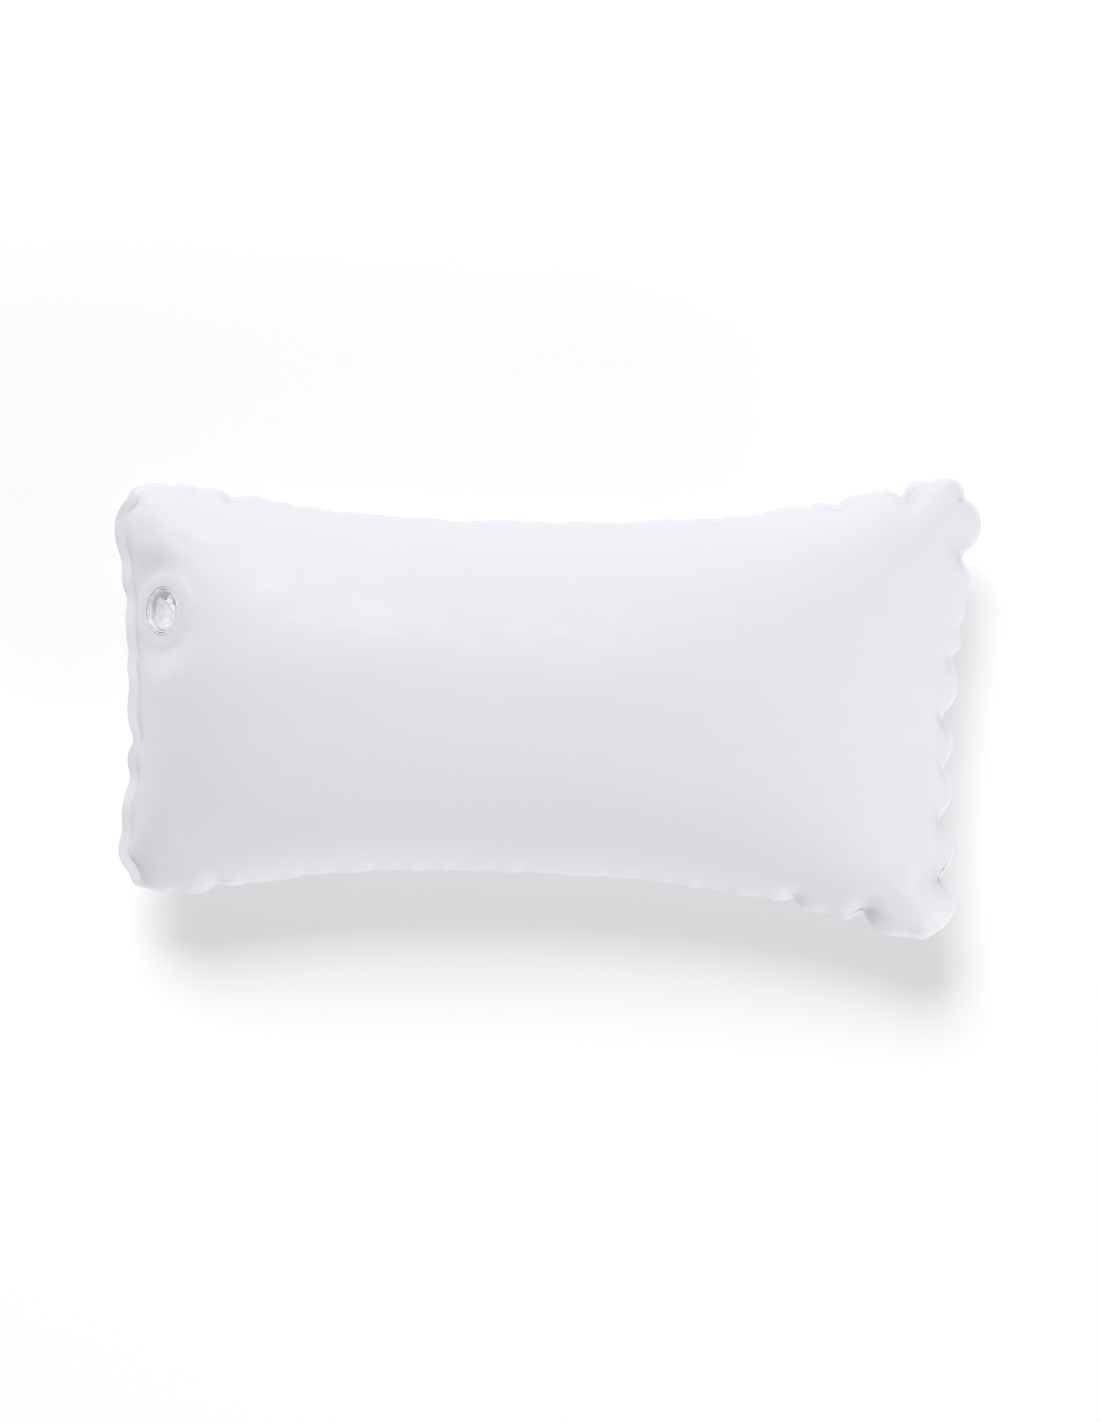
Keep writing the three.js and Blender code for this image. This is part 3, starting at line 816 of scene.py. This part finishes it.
        grow = np.clip(1.0 - from_rim / 0.016, 0.0, 1.0)**1.3 * (0.35 + 0.65 * endness)[nearest]
        pin = 0.15 + 0.65 * smoothstep(from_rim, 0.006, 0.026)
        extra = self.weld_rings * count
        grow = np.concatenate([grow, np.tile(0.35 + 0.65 * endness, self.weld_rings)])
        pin = np.concatenate([pin, np.zeros(extra)])
        return points, faces, weld_faces, bag, grow, pin

    def _weld(self, rim: np.ndarray, drawn: np.ndarray, lifted: np.ndarray, first: int) -> tuple:
        """The band of welded film outside the rim, turned down all round but at the valve's end.

        Args:
            rim: The rim's gathered points.
            drawn: How far each is drawn in.
            lifted: How far each is lifted.
            first: The index that the band's first vertex gets.

        Returns:
            The band's points, its faces seen from above, and how gathered each point is.
        """
        count = self.count
        covers = 1.0 - smoothstep(-self.rim_out[:, 0], 0.3, 0.8)
        droop = np.radians(self.least_droop + self.more_droop * covers)
        wave = np.array([noise.noise((a * 70.0, 3.7, 0.0)) for a in self.rim_along])
        droop += self.droop_wave * wave
        points, faces, gather = [], [], []
        inner = np.arange(count)
        for ring in range(1, self.weld_rings + 1):
            share = ring / self.weld_rings
            reach = self.weld_width * share
            place = rim.copy()
            place[:, :2] += self.rim_out * (reach * np.cos(droop))[:, None]
            place[:, 2] += -reach * np.sin(droop) + lifted * 0.7 * share
            outer = first + count * (ring - 1) + np.arange(count)
            faces.append(np.stack([outer, np.roll(outer, -1), np.roll(inner, -1), inner], 1))
            points.append(place)
            gather.append(np.clip(drawn / self.full_gather, 0.0, 1.0) * 0.5)
            inner = outer
        return np.concatenate(points), np.concatenate(faces), np.concatenate(gather)

    def _rest(self, points: np.ndarray) -> np.ndarray:
        """Lifts the film to its height over the floor and flattens what lies on the floor."""
        points = points + np.array([self.shift, 0.0, self.weld_height])
        soft = self.softness
        floor = self.low + self.thickness
        over = (points[:, 2] - floor) / soft
        points[:, 2] = floor + soft * np.logaddexp(0.0, over)
        return points

    def _dish(self, points: np.ndarray) -> np.ndarray:
        """Presses the film round the valve flat on its washer, with the washer's edge showing through."""
        local = self.seat.local(points)
        reach = np.hypot(local[:, 0], local[:, 1])
        edge = self.seat.washer_radius
        flat = self.seat.sunk(reach, self.thickness)
        soft = self.softness
        pressed = flat - soft * np.logaddexp(0.0, (flat - local[:, 2]) / soft)
        full = 1.0 - smoothstep(reach, edge + self.seat.step_outside, edge + self.dish_reach)
        target = np.where(reach < edge + 0.0022, flat, pressed)
        near = (reach < edge + 0.016) & (np.abs(local[:, 2]) < 0.02)
        local[:, 2] = np.where(near, local[:, 2] + (target - local[:, 2]) * full, local[:, 2])
        moved = self.seat.placed(local)
        return np.where(near[:, None], moved, points)

    def _hole(self, piece: bpy.types.Object) -> None:
        """Cuts the valve's hole, with even rings of film round it out to the washer's edge."""
        radii = [self.seat.hole_radius + d * MM for d in (0.0, 0.15, 0.5, 1.2, 2.1, 2.9)]
        edge = self.seat.washer_radius
        radii += [edge - 0.0008, edge - 0.0003, edge + 0.0002, edge + 0.0007, edge + 0.0013, edge + 0.0020]
        outer = radii[-1] + 0.0010
        mesh = bmesh.new()
        mesh.from_mesh(piece.data)
        weld, gather = (mesh.verts.layers.float[n] for n in (self.WELD, self.GATHER))
        places = self.seat.local(np.array([v.co for v in mesh.verts]))
        inside = (np.hypot(places[:, 0], places[:, 1]) < outer) & (np.abs(places[:, 2]) < 0.012)
        mesh.verts.ensure_lookup_table()
        gone = [mesh.verts[int(i)] for i in np.nonzero(inside)[0]]
        border_before = {e for e in mesh.edges if e.is_boundary}
        bmesh.ops.delete(mesh, geom=gone, context="VERTS")
        jagged = [e for e in mesh.edges if e.is_boundary and e not in border_before]
        turns = 96
        rings = []
        for radius in radii:
            depth = float(self.seat.sunk(np.array(radius), self.thickness))
            angles = np.arange(turns) * 2 * math.pi / turns
            flat = np.column_stack([np.cos(angles) * radius, np.sin(angles) * radius, np.full(turns, depth)])
            ring = [mesh.verts.new(p) for p in self.seat.placed(flat)]
            for vertex in ring:
                vertex[weld] = 0.0
                vertex[gather] = 0.0
            rings.append(ring)
        for low, high in zip(rings, rings[1:]):
            for k in range(turns):
                mesh.faces.new((low[k - 1], high[k - 1], high[k], low[k])).smooth = True
        circle = [mesh.edges.get((rings[-1][k - 1], rings[-1][k])) for k in range(turns)]
        out = self.seat.matrix.to_3x3() @ Vector((0.0, 0.0, 1.0))
        filled = bmesh.ops.triangle_fill(mesh, use_beauty=True, edges=jagged + circle, normal=out)
        for face in [g for g in filled["geom"] if isinstance(g, bmesh.types.BMFace)]:
            face.smooth = True
            if face.normal.dot(out) < 0:
                face.normal_flip()
        mesh.to_mesh(piece.data)
        mesh.free()

    def build(self) -> list:
        """Makes, inflates and dresses both sheets.

        Returns:
            The upper and the lower film.
        """
        self._plan()
        self._rim_frame()
        points, faces, weld_faces, bag, grow, pin = self._start()
        points = self.inflation.run(points, np.concatenate([faces, weld_faces]), bag, grow, pin)
        points = points + self.tuck * self.retuck
        points = self._rest(points)
        total, half = len(self.plan), len(self.sheet_faces)
        material = self.finish.build()
        made = []
        for side, name, node in ((Side.UPPER, "upper_film", "upper_sheet"),
                                 (Side.LOWER, "lower_film", "lower_sheet")):
            own = faces[:half] if side is Side.UPPER else faces[half:]
            band = weld_faces if side is Side.UPPER else weld_faces[:, ::-1]
            chosen = np.concatenate([own, band])
            used = np.unique(chosen)
            renumber = np.full(len(points), -1)
            renumber[used] = np.arange(len(used))
            shape = self._dish(points) if side is Side.UPPER else points
            piece = new_object(name, shape[used], renumber[chosen])
            values = {
                self.WELD: (used >= bag).astype(np.float32),
                self.GATHER: self.gather[used].astype(np.float32),
            }
            for attribute, value in values.items():
                piece.data.attributes.new(attribute, "FLOAT", "POINT").data.foreach_set("value", value)
            if side is Side.UPPER:
                self._hole(piece)
            solid = piece.modifiers.new("Solidify", "SOLIDIFY")
            solid.thickness = self.thickness
            solid.offset = 1.0
            fine = piece.modifiers.new("Subdivision", "SUBSURF")
            fine.levels = fine.render_levels = 1
            settle(piece)
            dress(piece, material, Body.SHELL, (node,))
            made.append(piece)
        return made


# ----------------------------------------------------------------------------------------------------
# The valve
# ----------------------------------------------------------------------------------------------------


@dataclass
class Valve:
    """The push-in air valve, in the seat's frame: w is 0 on the film's outside and rises outward."""

    seat: Seat
    finish: VinylFinish = field(default_factory=VinylFinish)
    film: FilmFinish = field(default_factory=FilmFinish)
    turns: int = 96
    gap: float = 0.0003
    film_room: float = 0.0004
    washer_thickness: float = 0.0008
    lip_width: float = 0.0007
    lip_top: float = -0.0002
    skirt_wall: float = 0.00045
    skirt_fullness: float = 3.0
    stem_shift: float = -0.0016
    stem_radius: float = 0.0057
    stem_top: float = -0.0032
    stem_bottom: float = -0.0092
    bore_radius: float = 0.0040
    port_radius: float = 0.0025
    foot_radius: float = 0.0065
    foot_height: float = 0.0008
    web: float = 0.0010
    collar_wall: float = 0.0006
    collar_height: float = 0.0009
    head_radius: float = 0.0063
    head_thickness: float = 0.0015
    head_chamfer: float = 0.0004
    shank_taper: float = 0.0013
    shank_wall: float = 0.0010
    tab_overhang: float = 0.0021
    tab_width: float = 0.0046
    tab_thickness: float = 0.0009
    tab_direction: float = math.radians(128.0)
    strap_direction: float = math.radians(68.0)
    strap_width: float = 0.0036
    strap_thickness: float = 0.0006
    strap_overhang: float = 0.0035
    flap_radius: float = 0.0033
    flap_thickness: float = 0.0005
    flap_tail: float = 0.0045
    flap_tail_width: float = 0.0030

    def __post_init__(self) -> None:
        """Works out the sizes that follow from the others."""
        self.hole = self.seat.hole_radius
        self.lip_outer = self.hole - self.gap
        self.lip_inner = self.lip_outer - self.lip_width
        self.head_bottom = self.stem_top + self.gap
        self.head_top = self.head_bottom + self.head_thickness
        self.collar_inner = self.stem_radius + self.gap
        self.collar_outer = self.collar_inner + self.collar_wall
        self.collar_bottom = self.stem_top - 2 * self.collar_height
        self.strap_low = self.collar_bottom + self.collar_height / 2
        self.strap_high = self.head_bottom + self.head_thickness / 2
        self.strap_bend = (self.strap_high - self.strap_low) / 2
        self.strap_turn = self.stem_radius + self.strap_overhang - self.strap_thickness / 2 - self.strap_bend
        self.material = self.finish.build()

    def _turned(self, name: str, outline: list, shift: float = 0.0,
                bevel: float = 0.00012) -> bpy.types.Object:
        """A solid of revolution with rounded edges.

        Args:
            name: The piece's name.
            outline: Pairs of radius and w, anticlockwise; a radius of 0 closes on the axis.
            shift: How far the axis is off the seat's, along the seat's Y.
            bevel: The rounding of its edges.

        Returns:
            The piece.
        """
        mesh = bmesh.new()
        angles = [k * 2 * math.pi / self.turns for k in range(self.turns)]
        rings = []
        for radius, w in outline:
            if radius == 0:
                rings.append([mesh.verts.new((0.0, shift, w))])
            else:
                rings.append([mesh.verts.new((radius * math.cos(a), shift + radius * math.sin(a), w))
                              for a in angles])
        bridge(mesh, rings, closed=outline[0][0] != 0)
        bmesh.ops.recalc_face_normals(mesh, faces=mesh.faces)
        return self._finished(name, mesh, bevel)

    def _finished(self, name: str, mesh: bmesh.types.BMesh, bevel: float) -> bpy.types.Object:
        """Places a mesh of the seat's frame in the pillow's and rounds its sharp edges."""
        mesh.transform(self.seat.matrix)
        data = bpy.data.meshes.new(name)
        mesh.to_mesh(data)
        mesh.free()
        data.shade_smooth()
        piece = linked(name, data)
        if bevel > 0:
            round_edges(piece, bevel, 3, 38.0)
            settle(piece)
        return piece

    def _dressed(self, piece: bpy.types.Object, body: Body, nodes: tuple) -> bpy.types.Object:
        """Dresses one of the valve's clear pieces."""
        return dress(piece, self.material, body, nodes)

    def washer(self) -> bpy.types.Object:
        """The washer welded under the film, with the lip that stands in the film's hole."""
        top = -self.film_room - self.gap
        low = top - self.washer_thickness
        outline = [(self.lip_inner, low), (self.seat.washer_radius, low), (self.seat.washer_radius, top),
                   (self.lip_outer, top), (self.lip_outer, self.lip_top), (self.lip_inner, self.lip_top)]
        return self._dressed(self._turned("valve_washer", outline), Body.SHELL, ("valve_flange",))

    def skirt(self) -> bpy.types.Object:
        """The thin cuff, folded in with the stem, that turns inside out when the stem is pulled up."""
        top_radius = self.lip_inner - self.gap
        foot = self.foot_radius + self.gap + self.skirt_wall
        top = self.lip_top - self.gap
        steps = 28
        rings = []
        for wall in (self.skirt_wall, 0.0):
            side = []
            for k in range(steps + 1):
                turn = k / steps * math.pi / 2
                inward = 1 - max(0.0, math.cos(turn))**(2 / self.skirt_fullness)
                down = math.sin(turn)**(2 / self.skirt_fullness)
                ripple = 0.00010 * math.sin(down * 5 * math.pi)**2
                side.append((top_radius + (foot - top_radius) * inward - wall - ripple,
                             top + (self.stem_bottom - top) * down, self.stem_shift * inward))
            rings.append(side)
        section = rings[0] + rings[1][::-1]
        mesh = bmesh.new()
        loops = []
        for radius, w, shift in section:
            loops.append([mesh.verts.new((radius * math.cos(a), shift + radius * math.sin(a), w))
                          for a in (k * 2 * math.pi / self.turns for k in range(self.turns))])
        bridge(mesh, loops, closed=True)
        bmesh.ops.recalc_face_normals(mesh, faces=mesh.faces)
        piece = self._finished("valve_cuff", mesh, 0.0)
        piece.data.materials.append(self.material)
        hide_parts("valve_skirt")
        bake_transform(piece, Body.SHELL.value, Body.STEM.value,
                 start=self.seat.placed(np.array([0.0, self.stem_shift, top])),
                 end=self.seat.placed(np.array([0.0, self.stem_shift, self.stem_bottom])))
        LOG.info("%s bends between shell and stem", piece.name)
        return piece

    def stem(self) -> bpy.types.Object:
        """The tube that the plug closes, with a foot for the cuff and a web with the air's port."""
        ledge = self.stem_bottom + self.foot_height
        floor = self.stem_bottom + self.web
        outline = [(self.port_radius, self.stem_bottom), (self.foot_radius, self.stem_bottom),
                   (self.foot_radius, ledge), (self.stem_radius, ledge), (self.stem_radius, self.stem_top),
                   (self.bore_radius, self.stem_top), (self.bore_radius, floor), (self.port_radius, floor)]
        return self._dressed(self._turned("valve_tube", outline, self.stem_shift), Body.STEM,
                             ("valve_stem",))

    def collar(self) -> bpy.types.Object:
        """The ring round the stem that holds the strap's lower end."""
        top = self.collar_bottom + self.collar_height
        outline = [(self.collar_inner, self.collar_bottom), (self.collar_outer, self.collar_bottom),
                   (self.collar_outer, top), (self.collar_inner, top)]
        return self._dressed(self._turned("strap_ring", outline, self.stem_shift), Body.STEM,
                             ("strap_collar",))

    def strap(self) -> bpy.types.Object:
        """The folded strap: a leg out from the collar and a half turn up to the plug."""
        middle = self.strap_low + self.strap_bend
        start = self.collar_outer + self.gap
        line = [(start + (self.strap_turn - start) * k / 6, self.strap_low) for k in range(6)]
        line += [(self.strap_turn + self.strap_bend * math.sin(a), middle - self.strap_bend * math.cos(a))
                 for a in (k * math.pi / 20 for k in range(21))]
        half, width = self.strap_thickness / 2, self.strap_width / 2
        across = [(-1.0, -0.55), (-0.9, -1.0), (0.0, -1.0), (0.9, -1.0), (1.0, -0.55),
                  (1.0, 0.55), (0.9, 1.0), (0.0, 1.0), (-0.9, 1.0), (-1.0, 0.55)]
        away = Vector((math.cos(self.strap_direction), math.sin(self.strap_direction), 0.0))
        side = Vector((-away.y, away.x, 0.0))
        mesh = bmesh.new()
        loops = []
        for k, (r, w) in enumerate(line):
            before, after = line[max(0, k - 1)], line[min(len(line) - 1, k + 1)]
            run = Vector((after[0] - before[0], after[1] - before[1])).normalized()
            normal = away * -run.y + Vector((0.0, 0.0, run.x))
            centre = away * r + Vector((0.0, self.stem_shift, w))
            loops.append([mesh.verts.new(centre + side * (s * width) + normal * (t * half))
                          for s, t in across])
        bridge(mesh, loops)
        mesh.faces.new(loops[0])
        mesh.faces.new(loops[-1])
        bmesh.ops.recalc_face_normals(mesh, faces=mesh.faces)
        piece = self._finished("strap_band", mesh, 0.0)
        piece.data.materials.append(self.material)
        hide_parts("plug_strap")
        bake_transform(piece, Body.STEM.value, Body.STRAP.value,
                 start=self.seat.placed(np.array([0.0, self.stem_shift, self.strap_low])),
                 end=self.seat.placed(np.array([0.0, self.stem_shift, self.strap_high])))
        LOG.info("%s bends between stem and strap", piece.name)
        return piece

    def _paddle(self, reach: float, width: float, low: float, high: float, direction: float,
                round_end: bool) -> list:
        """A flat tongue out from the stem's axis, as the corners of its outline and its two heights."""
        half = width / 2
        line = [(0.0, -half)]
        if round_end:
            line += [(reach - half + half * math.cos(a), half * math.sin(a))
                     for a in (-math.pi / 2 + k * math.pi / 16 for k in range(17))]
        else:
            line += [(reach, -half), (reach, half)]
        line.append((0.0, half))
        turn = Matrix.Rotation(direction, 3, "Z")
        return [[turn @ Vector((x, y, w)) + Vector((0.0, self.stem_shift, 0.0)) for x, y in line]
                for w in (low, high)]

    def _joined(self, name: str, body: bpy.types.Object, tongues: list, bevel: float) -> bpy.types.Object:
        """Joins flat tongues to a turned body with exact booleans, and rounds what is sharp.

        Args:
            name: The piece's name.
            body: The turned body, which is used up.
            tongues: Pairs of outlines from _paddle.
            bevel: The rounding of the edges.

        Returns:
            The piece.
        """
        helpers = []
        for low, high in tongues:
            mesh = bmesh.new()
            bottom, top = ([mesh.verts.new(p) for p in line] for line in (low, high))
            bridge(mesh, [bottom, top])
            mesh.faces.new(bottom)
            mesh.faces.new(top)
            bmesh.ops.recalc_face_normals(mesh, faces=mesh.faces)
            helper = self._finished("tongue", mesh, 0.0)
            helpers.append(helper)
            union = body.modifiers.new("Union", "BOOLEAN")
            union.operation = "UNION"
            union.solver = "EXACT"
            union.object = helper
        round_edges(body, bevel, 2, 40.0)
        settle(body)
        for helper in helpers:
            mesh = helper.data
            bpy.data.objects.remove(helper)
            bpy.data.meshes.remove(mesh)
        body.name = body.data.name = name
        body.data.shade_smooth()
        return body

    def plug(self) -> bpy.types.Object:
        """The plug: a hollow shank that fits the bore, a dished head, its strap's tongue and a pull tab."""
        tip = self.stem_bottom + self.web + 0.0010
        shank = self.bore_radius - self.gap
        tip_radius = shank - self.shank_taper
        third = (self.head_bottom - tip) / 3
        bead = self.head_radius - 0.0011
        chamfer = self.head_chamfer
        hollow = tip_radius - self.shank_wall
        outline = [(0.0, self.head_bottom), (hollow, self.head_bottom - self.shank_wall),
                   (hollow, tip), (tip_radius, tip),
                   (shank - self.shank_taper / 3, tip + third), (shank, self.head_bottom - third),
                   (shank, self.head_bottom), (self.head_radius - chamfer, self.head_bottom),
                   (self.head_radius, self.head_bottom + chamfer),
                   (self.head_radius, self.head_top - chamfer),
                   (self.head_radius - chamfer, self.head_top), (bead, self.head_top),
                   (bead - 0.0003, self.head_top - 0.00025), (0.0, self.head_top - chamfer)]
        body = self._turned("plug_body", outline, self.stem_shift, 0.0)
        tab_top = self.head_top - chamfer
        tab = self._paddle(self.head_radius + self.tab_overhang, self.tab_width, tab_top - self.tab_thickness,
                           tab_top, self.tab_direction, True)
        half = self.strap_thickness / 2
        tongue = self._paddle(self.strap_turn - self.gap, self.strap_width, self.strap_high - half,
                              self.strap_high + half, self.strap_direction, False)
        piece = self._joined("plug_cap", body, [tab, tongue], 0.00010)
        return self._dressed(piece, Body.PLUG, ("valve_plug",))

    def flap(self) -> bpy.types.Object:
        """The check flap under the stem's port: a soft disc with the tail that it hangs from."""
        top = self.stem_bottom - self.gap
        low = top - self.flap_thickness
        outline = [(0.0, low), (self.flap_radius, low), (self.flap_radius, top), (0.0, top)]
        disc = self._turned("flap_disc", outline, self.stem_shift, 0.0)
        tail = self._paddle(self.flap_tail, self.flap_tail_width, low, top, 0.0, False)
        piece = self._joined("flap_leaf", disc, [tail], 0.00008)
        return self._dressed(piece, Body.FLAP, ("check_flap",))

    def build(self) -> None:
        """Makes every piece of the valve."""
        self.washer()
        self.skirt()
        self.stem()
        self.collar()
        self.strap()
        self.plug()
        self.flap()
        WeldDots(self.seat, self.film).build()
        TabRibs(self).build()


# ----------------------------------------------------------------------------------------------------
# What repeats, by Geometry Nodes
# ----------------------------------------------------------------------------------------------------


class Repeater:
    """A Geometry Nodes tree with named inputs, put on an empty mesh and turned into a plain piece."""

    def __init__(self, name: str, inputs: dict) -> None:
        """Starts the tree.

        Args:
            name: The tree's name.
            inputs: The name of each size, with its value.
        """
        self.tree = bpy.data.node_groups.new(name, "GeometryNodeTree")
        self.tree.interface.new_socket("Geometry", in_out="OUTPUT", socket_type="NodeSocketGeometry")
        self.identifiers = {}
        for label, value in inputs.items():
            kind = "NodeSocketInt" if isinstance(value, int) else "NodeSocketFloat"
            socket = self.tree.interface.new_socket(label, in_out="INPUT", socket_type=kind)
            self.identifiers[label] = socket.identifier
        self.inputs = inputs
        self.group_in = self.tree.nodes.new("NodeGroupInput")
        self.group_out = self.tree.nodes.new("NodeGroupOutput")

    def add(self, kind: str, links: dict | None = None, **settings: object) -> bpy.types.Node:
        """Adds a node.

        Args:
            kind: The node's type.
            links: For each input socket's name, a value or the socket that feeds it.
            settings: The node's own settings.

        Returns:
            The node.
        """
        node = self.tree.nodes.new(kind)
        for key, value in settings.items():
            setattr(node, key, value)
        for label, value in (links or {}).items():
            if isinstance(value, bpy.types.NodeSocket):
                self.tree.links.new(value, node.inputs[label])
            else:
                node.inputs[label].default_value = value
        return node

    def size(self, label: str) -> bpy.types.NodeSocket:
        """The socket of a named size."""
        return self.group_in.outputs[label]

    def make(self, name: str, instances: bpy.types.NodeSocket, material: bpy.types.Material,
             place: Matrix) -> bpy.types.Object:
        """Ends the tree, runs it and places what it makes.

        Args:
            name: The piece's name.
            instances: What the tree has made.
            material: The material that covers it.
            place: Where its own frame is in the pillow's.

        Returns:
            The piece.
        """
        real = self.add("GeometryNodeRealizeInstances", {"Geometry": instances})
        covered = self.add("GeometryNodeSetMaterial",
                           {"Geometry": real.outputs["Geometry"], "Material": material})
        self.tree.links.new(covered.outputs["Geometry"], self.group_out.inputs["Geometry"])
        piece = new_object(name, np.zeros((0, 3)), [])
        modifier = piece.modifiers.new("Repeat", "NODES")
        modifier.node_group = self.tree
        for label, value in self.inputs.items():
            modifier[self.identifiers[label]] = value
        settle(piece)
        piece.data.transform(place)
        piece.data.shade_smooth()
        return piece


@dataclass
class WeldDots:
    """The knurled ring that the welding tool leaves in the film over the valve's washer."""

    seat: Seat
    finish: FilmFinish
    dot: float = 0.00024
    first_row: float = 0.0012
    second_row: float = 0.0020
    dots: int = 84

    def build(self) -> bpy.types.Object:
        """Makes the ring of dots."""
        tree = Repeater("weld_dots", {"Dot": self.dot, "Inner": self.seat.hole_radius + self.first_row,
                                      "Outer": self.seat.hole_radius + self.second_row, "Count": self.dots})
        rows = tree.add("GeometryNodeJoinGeometry")
        ball = tree.add("GeometryNodeMeshIcoSphere", {"Radius": tree.size("Dot"), "Subdivisions": 2})
        for label in ("Inner", "Outer"):
            circle = tree.add("GeometryNodeMeshCircle", {"Vertices": tree.size("Count"),
                                                         "Radius": tree.size(label)})
            pressed = tree.add("GeometryNodeInstanceOnPoints",
                               {"Points": circle.outputs["Mesh"], "Instance": ball.outputs["Mesh"]})
            pressed.inputs["Scale"].default_value = (1.0, 1.0, 0.45)
            tree.tree.links.new(pressed.outputs["Instances"], rows.inputs["Geometry"])
        piece = tree.make("weld_dots", rows.outputs["Geometry"], bpy.data.materials[self.finish.name],
                          self.seat.matrix)
        return dress(piece, bpy.data.materials[self.finish.name], Body.SHELL)


@dataclass
class TabRibs:
    """The low grip ribs across the plug's pull tab."""

    valve: Valve
    ribs: int = 4
    pitch: float = 0.00055
    rib_width: float = 0.00022
    rib_height: float = 0.00028

    def build(self) -> bpy.types.Object:
        """Makes the ribs."""
        valve = self.valve
        tree = Repeater("tab_ribs", {"Ribs": self.ribs, "Pitch": self.pitch, "Width": self.rib_width,
                                     "Length": valve.tab_width * 0.62, "Height": self.rib_height})
        offset = tree.add("ShaderNodeCombineXYZ", {"X": tree.size("Pitch")})
        line = tree.add("GeometryNodeMeshLine", {"Count": tree.size("Ribs"), "Offset": offset.outputs[0]})
        size = tree.add("ShaderNodeCombineXYZ", {"X": tree.size("Width"), "Y": tree.size("Length"),
                                                 "Z": tree.size("Height")})
        bar = tree.add("GeometryNodeMeshCube", {"Size": size.outputs[0]})
        bars = tree.add("GeometryNodeInstanceOnPoints", {"Points": line.outputs["Mesh"],
                                                         "Instance": bar.outputs["Mesh"]})
        start = valve.head_radius + 0.00015
        tab_top = valve.head_top - valve.head_chamfer
        place = (valve.seat.matrix @ Matrix.Translation((0.0, valve.stem_shift, tab_top))
                 @ Matrix.Rotation(valve.tab_direction, 4, "Z") @ Matrix.Translation((start, 0.0, 0.0)))
        piece = tree.make("tab_ribs", bars.outputs["Instances"], valve.material, place)
        return dress(piece, valve.material, Body.PLUG)


# ----------------------------------------------------------------------------------------------------
# The studio
# ----------------------------------------------------------------------------------------------------


@dataclass(frozen=True)
class Softbox:
    """A square area light aimed at the pillow."""

    name: str
    place: tuple
    size: float
    power: float
    colour: tuple = (1.0, 1.0, 1.0)

    def build(self, target: Vector) -> bpy.types.Object:
        """Makes the light, turned to the target."""
        light = bpy.data.lights.new(self.name, "AREA")
        light.shape = "SQUARE"
        light.size = self.size
        light.energy = self.power
        light.color = self.colour
        lamp = linked(self.name, light)
        lamp.location = self.place
        lamp.rotation_euler = (target - Vector(self.place)).to_track_quat("-Z", "Y").to_euler()
        return lamp


@dataclass
class Studio:
    """The pale floor, the soft lights and the overhead camera."""

    floor_size: float = 8.0
    camera_height: float = 1.20
    frame_height: float = 0.594
    sharp_height: float = 0.045
    roll: float = math.radians(1.55)
    look_at: tuple = (0.0030, -0.0055)
    world: float = 0.49
    lights: tuple = (
        Softbox("key", (-0.80, 2.80, 3.05), 1.9, 104.0),
        Softbox("fill", (2.35, -2.55, 0.86), 1.6, 62.0),
    )

    def _floor(self) -> None:
        """The floor, which isn't part of the pillow."""
        half = self.floor_size / 2
        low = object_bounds()[0].z - 0.0002
        corners = [(-half, -half, low), (half, -half, low), (half, half, low), (-half, half, low)]
        floor = new_object("floor", np.array(corners), [(0, 1, 2, 3)])
        floor.data.materials.append(FloorFinish().build())
        floor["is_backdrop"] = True

    def _camera(self) -> None:
        """A camera straight above the pillow, turned a little about its line of sight."""
        lens = bpy.data.cameras.new("overhead")
        lens.lens = lens.sensor_width * (self.camera_height - self.sharp_height) / self.frame_height
        camera = linked("overhead", lens)
        camera.location = (*self.look_at, self.camera_height)
        camera.rotation_euler = (0.0, 0.0, self.roll)
        bpy.context.scene.camera = camera

    def build(self) -> None:
        """Makes the studio round the finished pillow."""
        self._floor()
        self._camera()
        low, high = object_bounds()
        for light in self.lights:
            light.build((low + high) / 2)
        world = bpy.data.worlds.new("studio")
        world.use_nodes = True
        world.node_tree.nodes["Background"].inputs["Color"].default_value = (1.0, 1.0, 1.0, 1.0)
        world.node_tree.nodes["Background"].inputs["Strength"].default_value = self.world
        scene = bpy.context.scene
        scene.world = world
        scene.view_settings.view_transform = "Standard"


def main() -> None:
    """Builds the pillow, then the studio round it."""
    logging.basicConfig(level=logging.INFO, format="%(name)s: %(message)s")
    seat = Seat()
    Film(seat).build()
    Valve(seat).build()
    Studio().build()


if __name__ == "__main__":
    main()
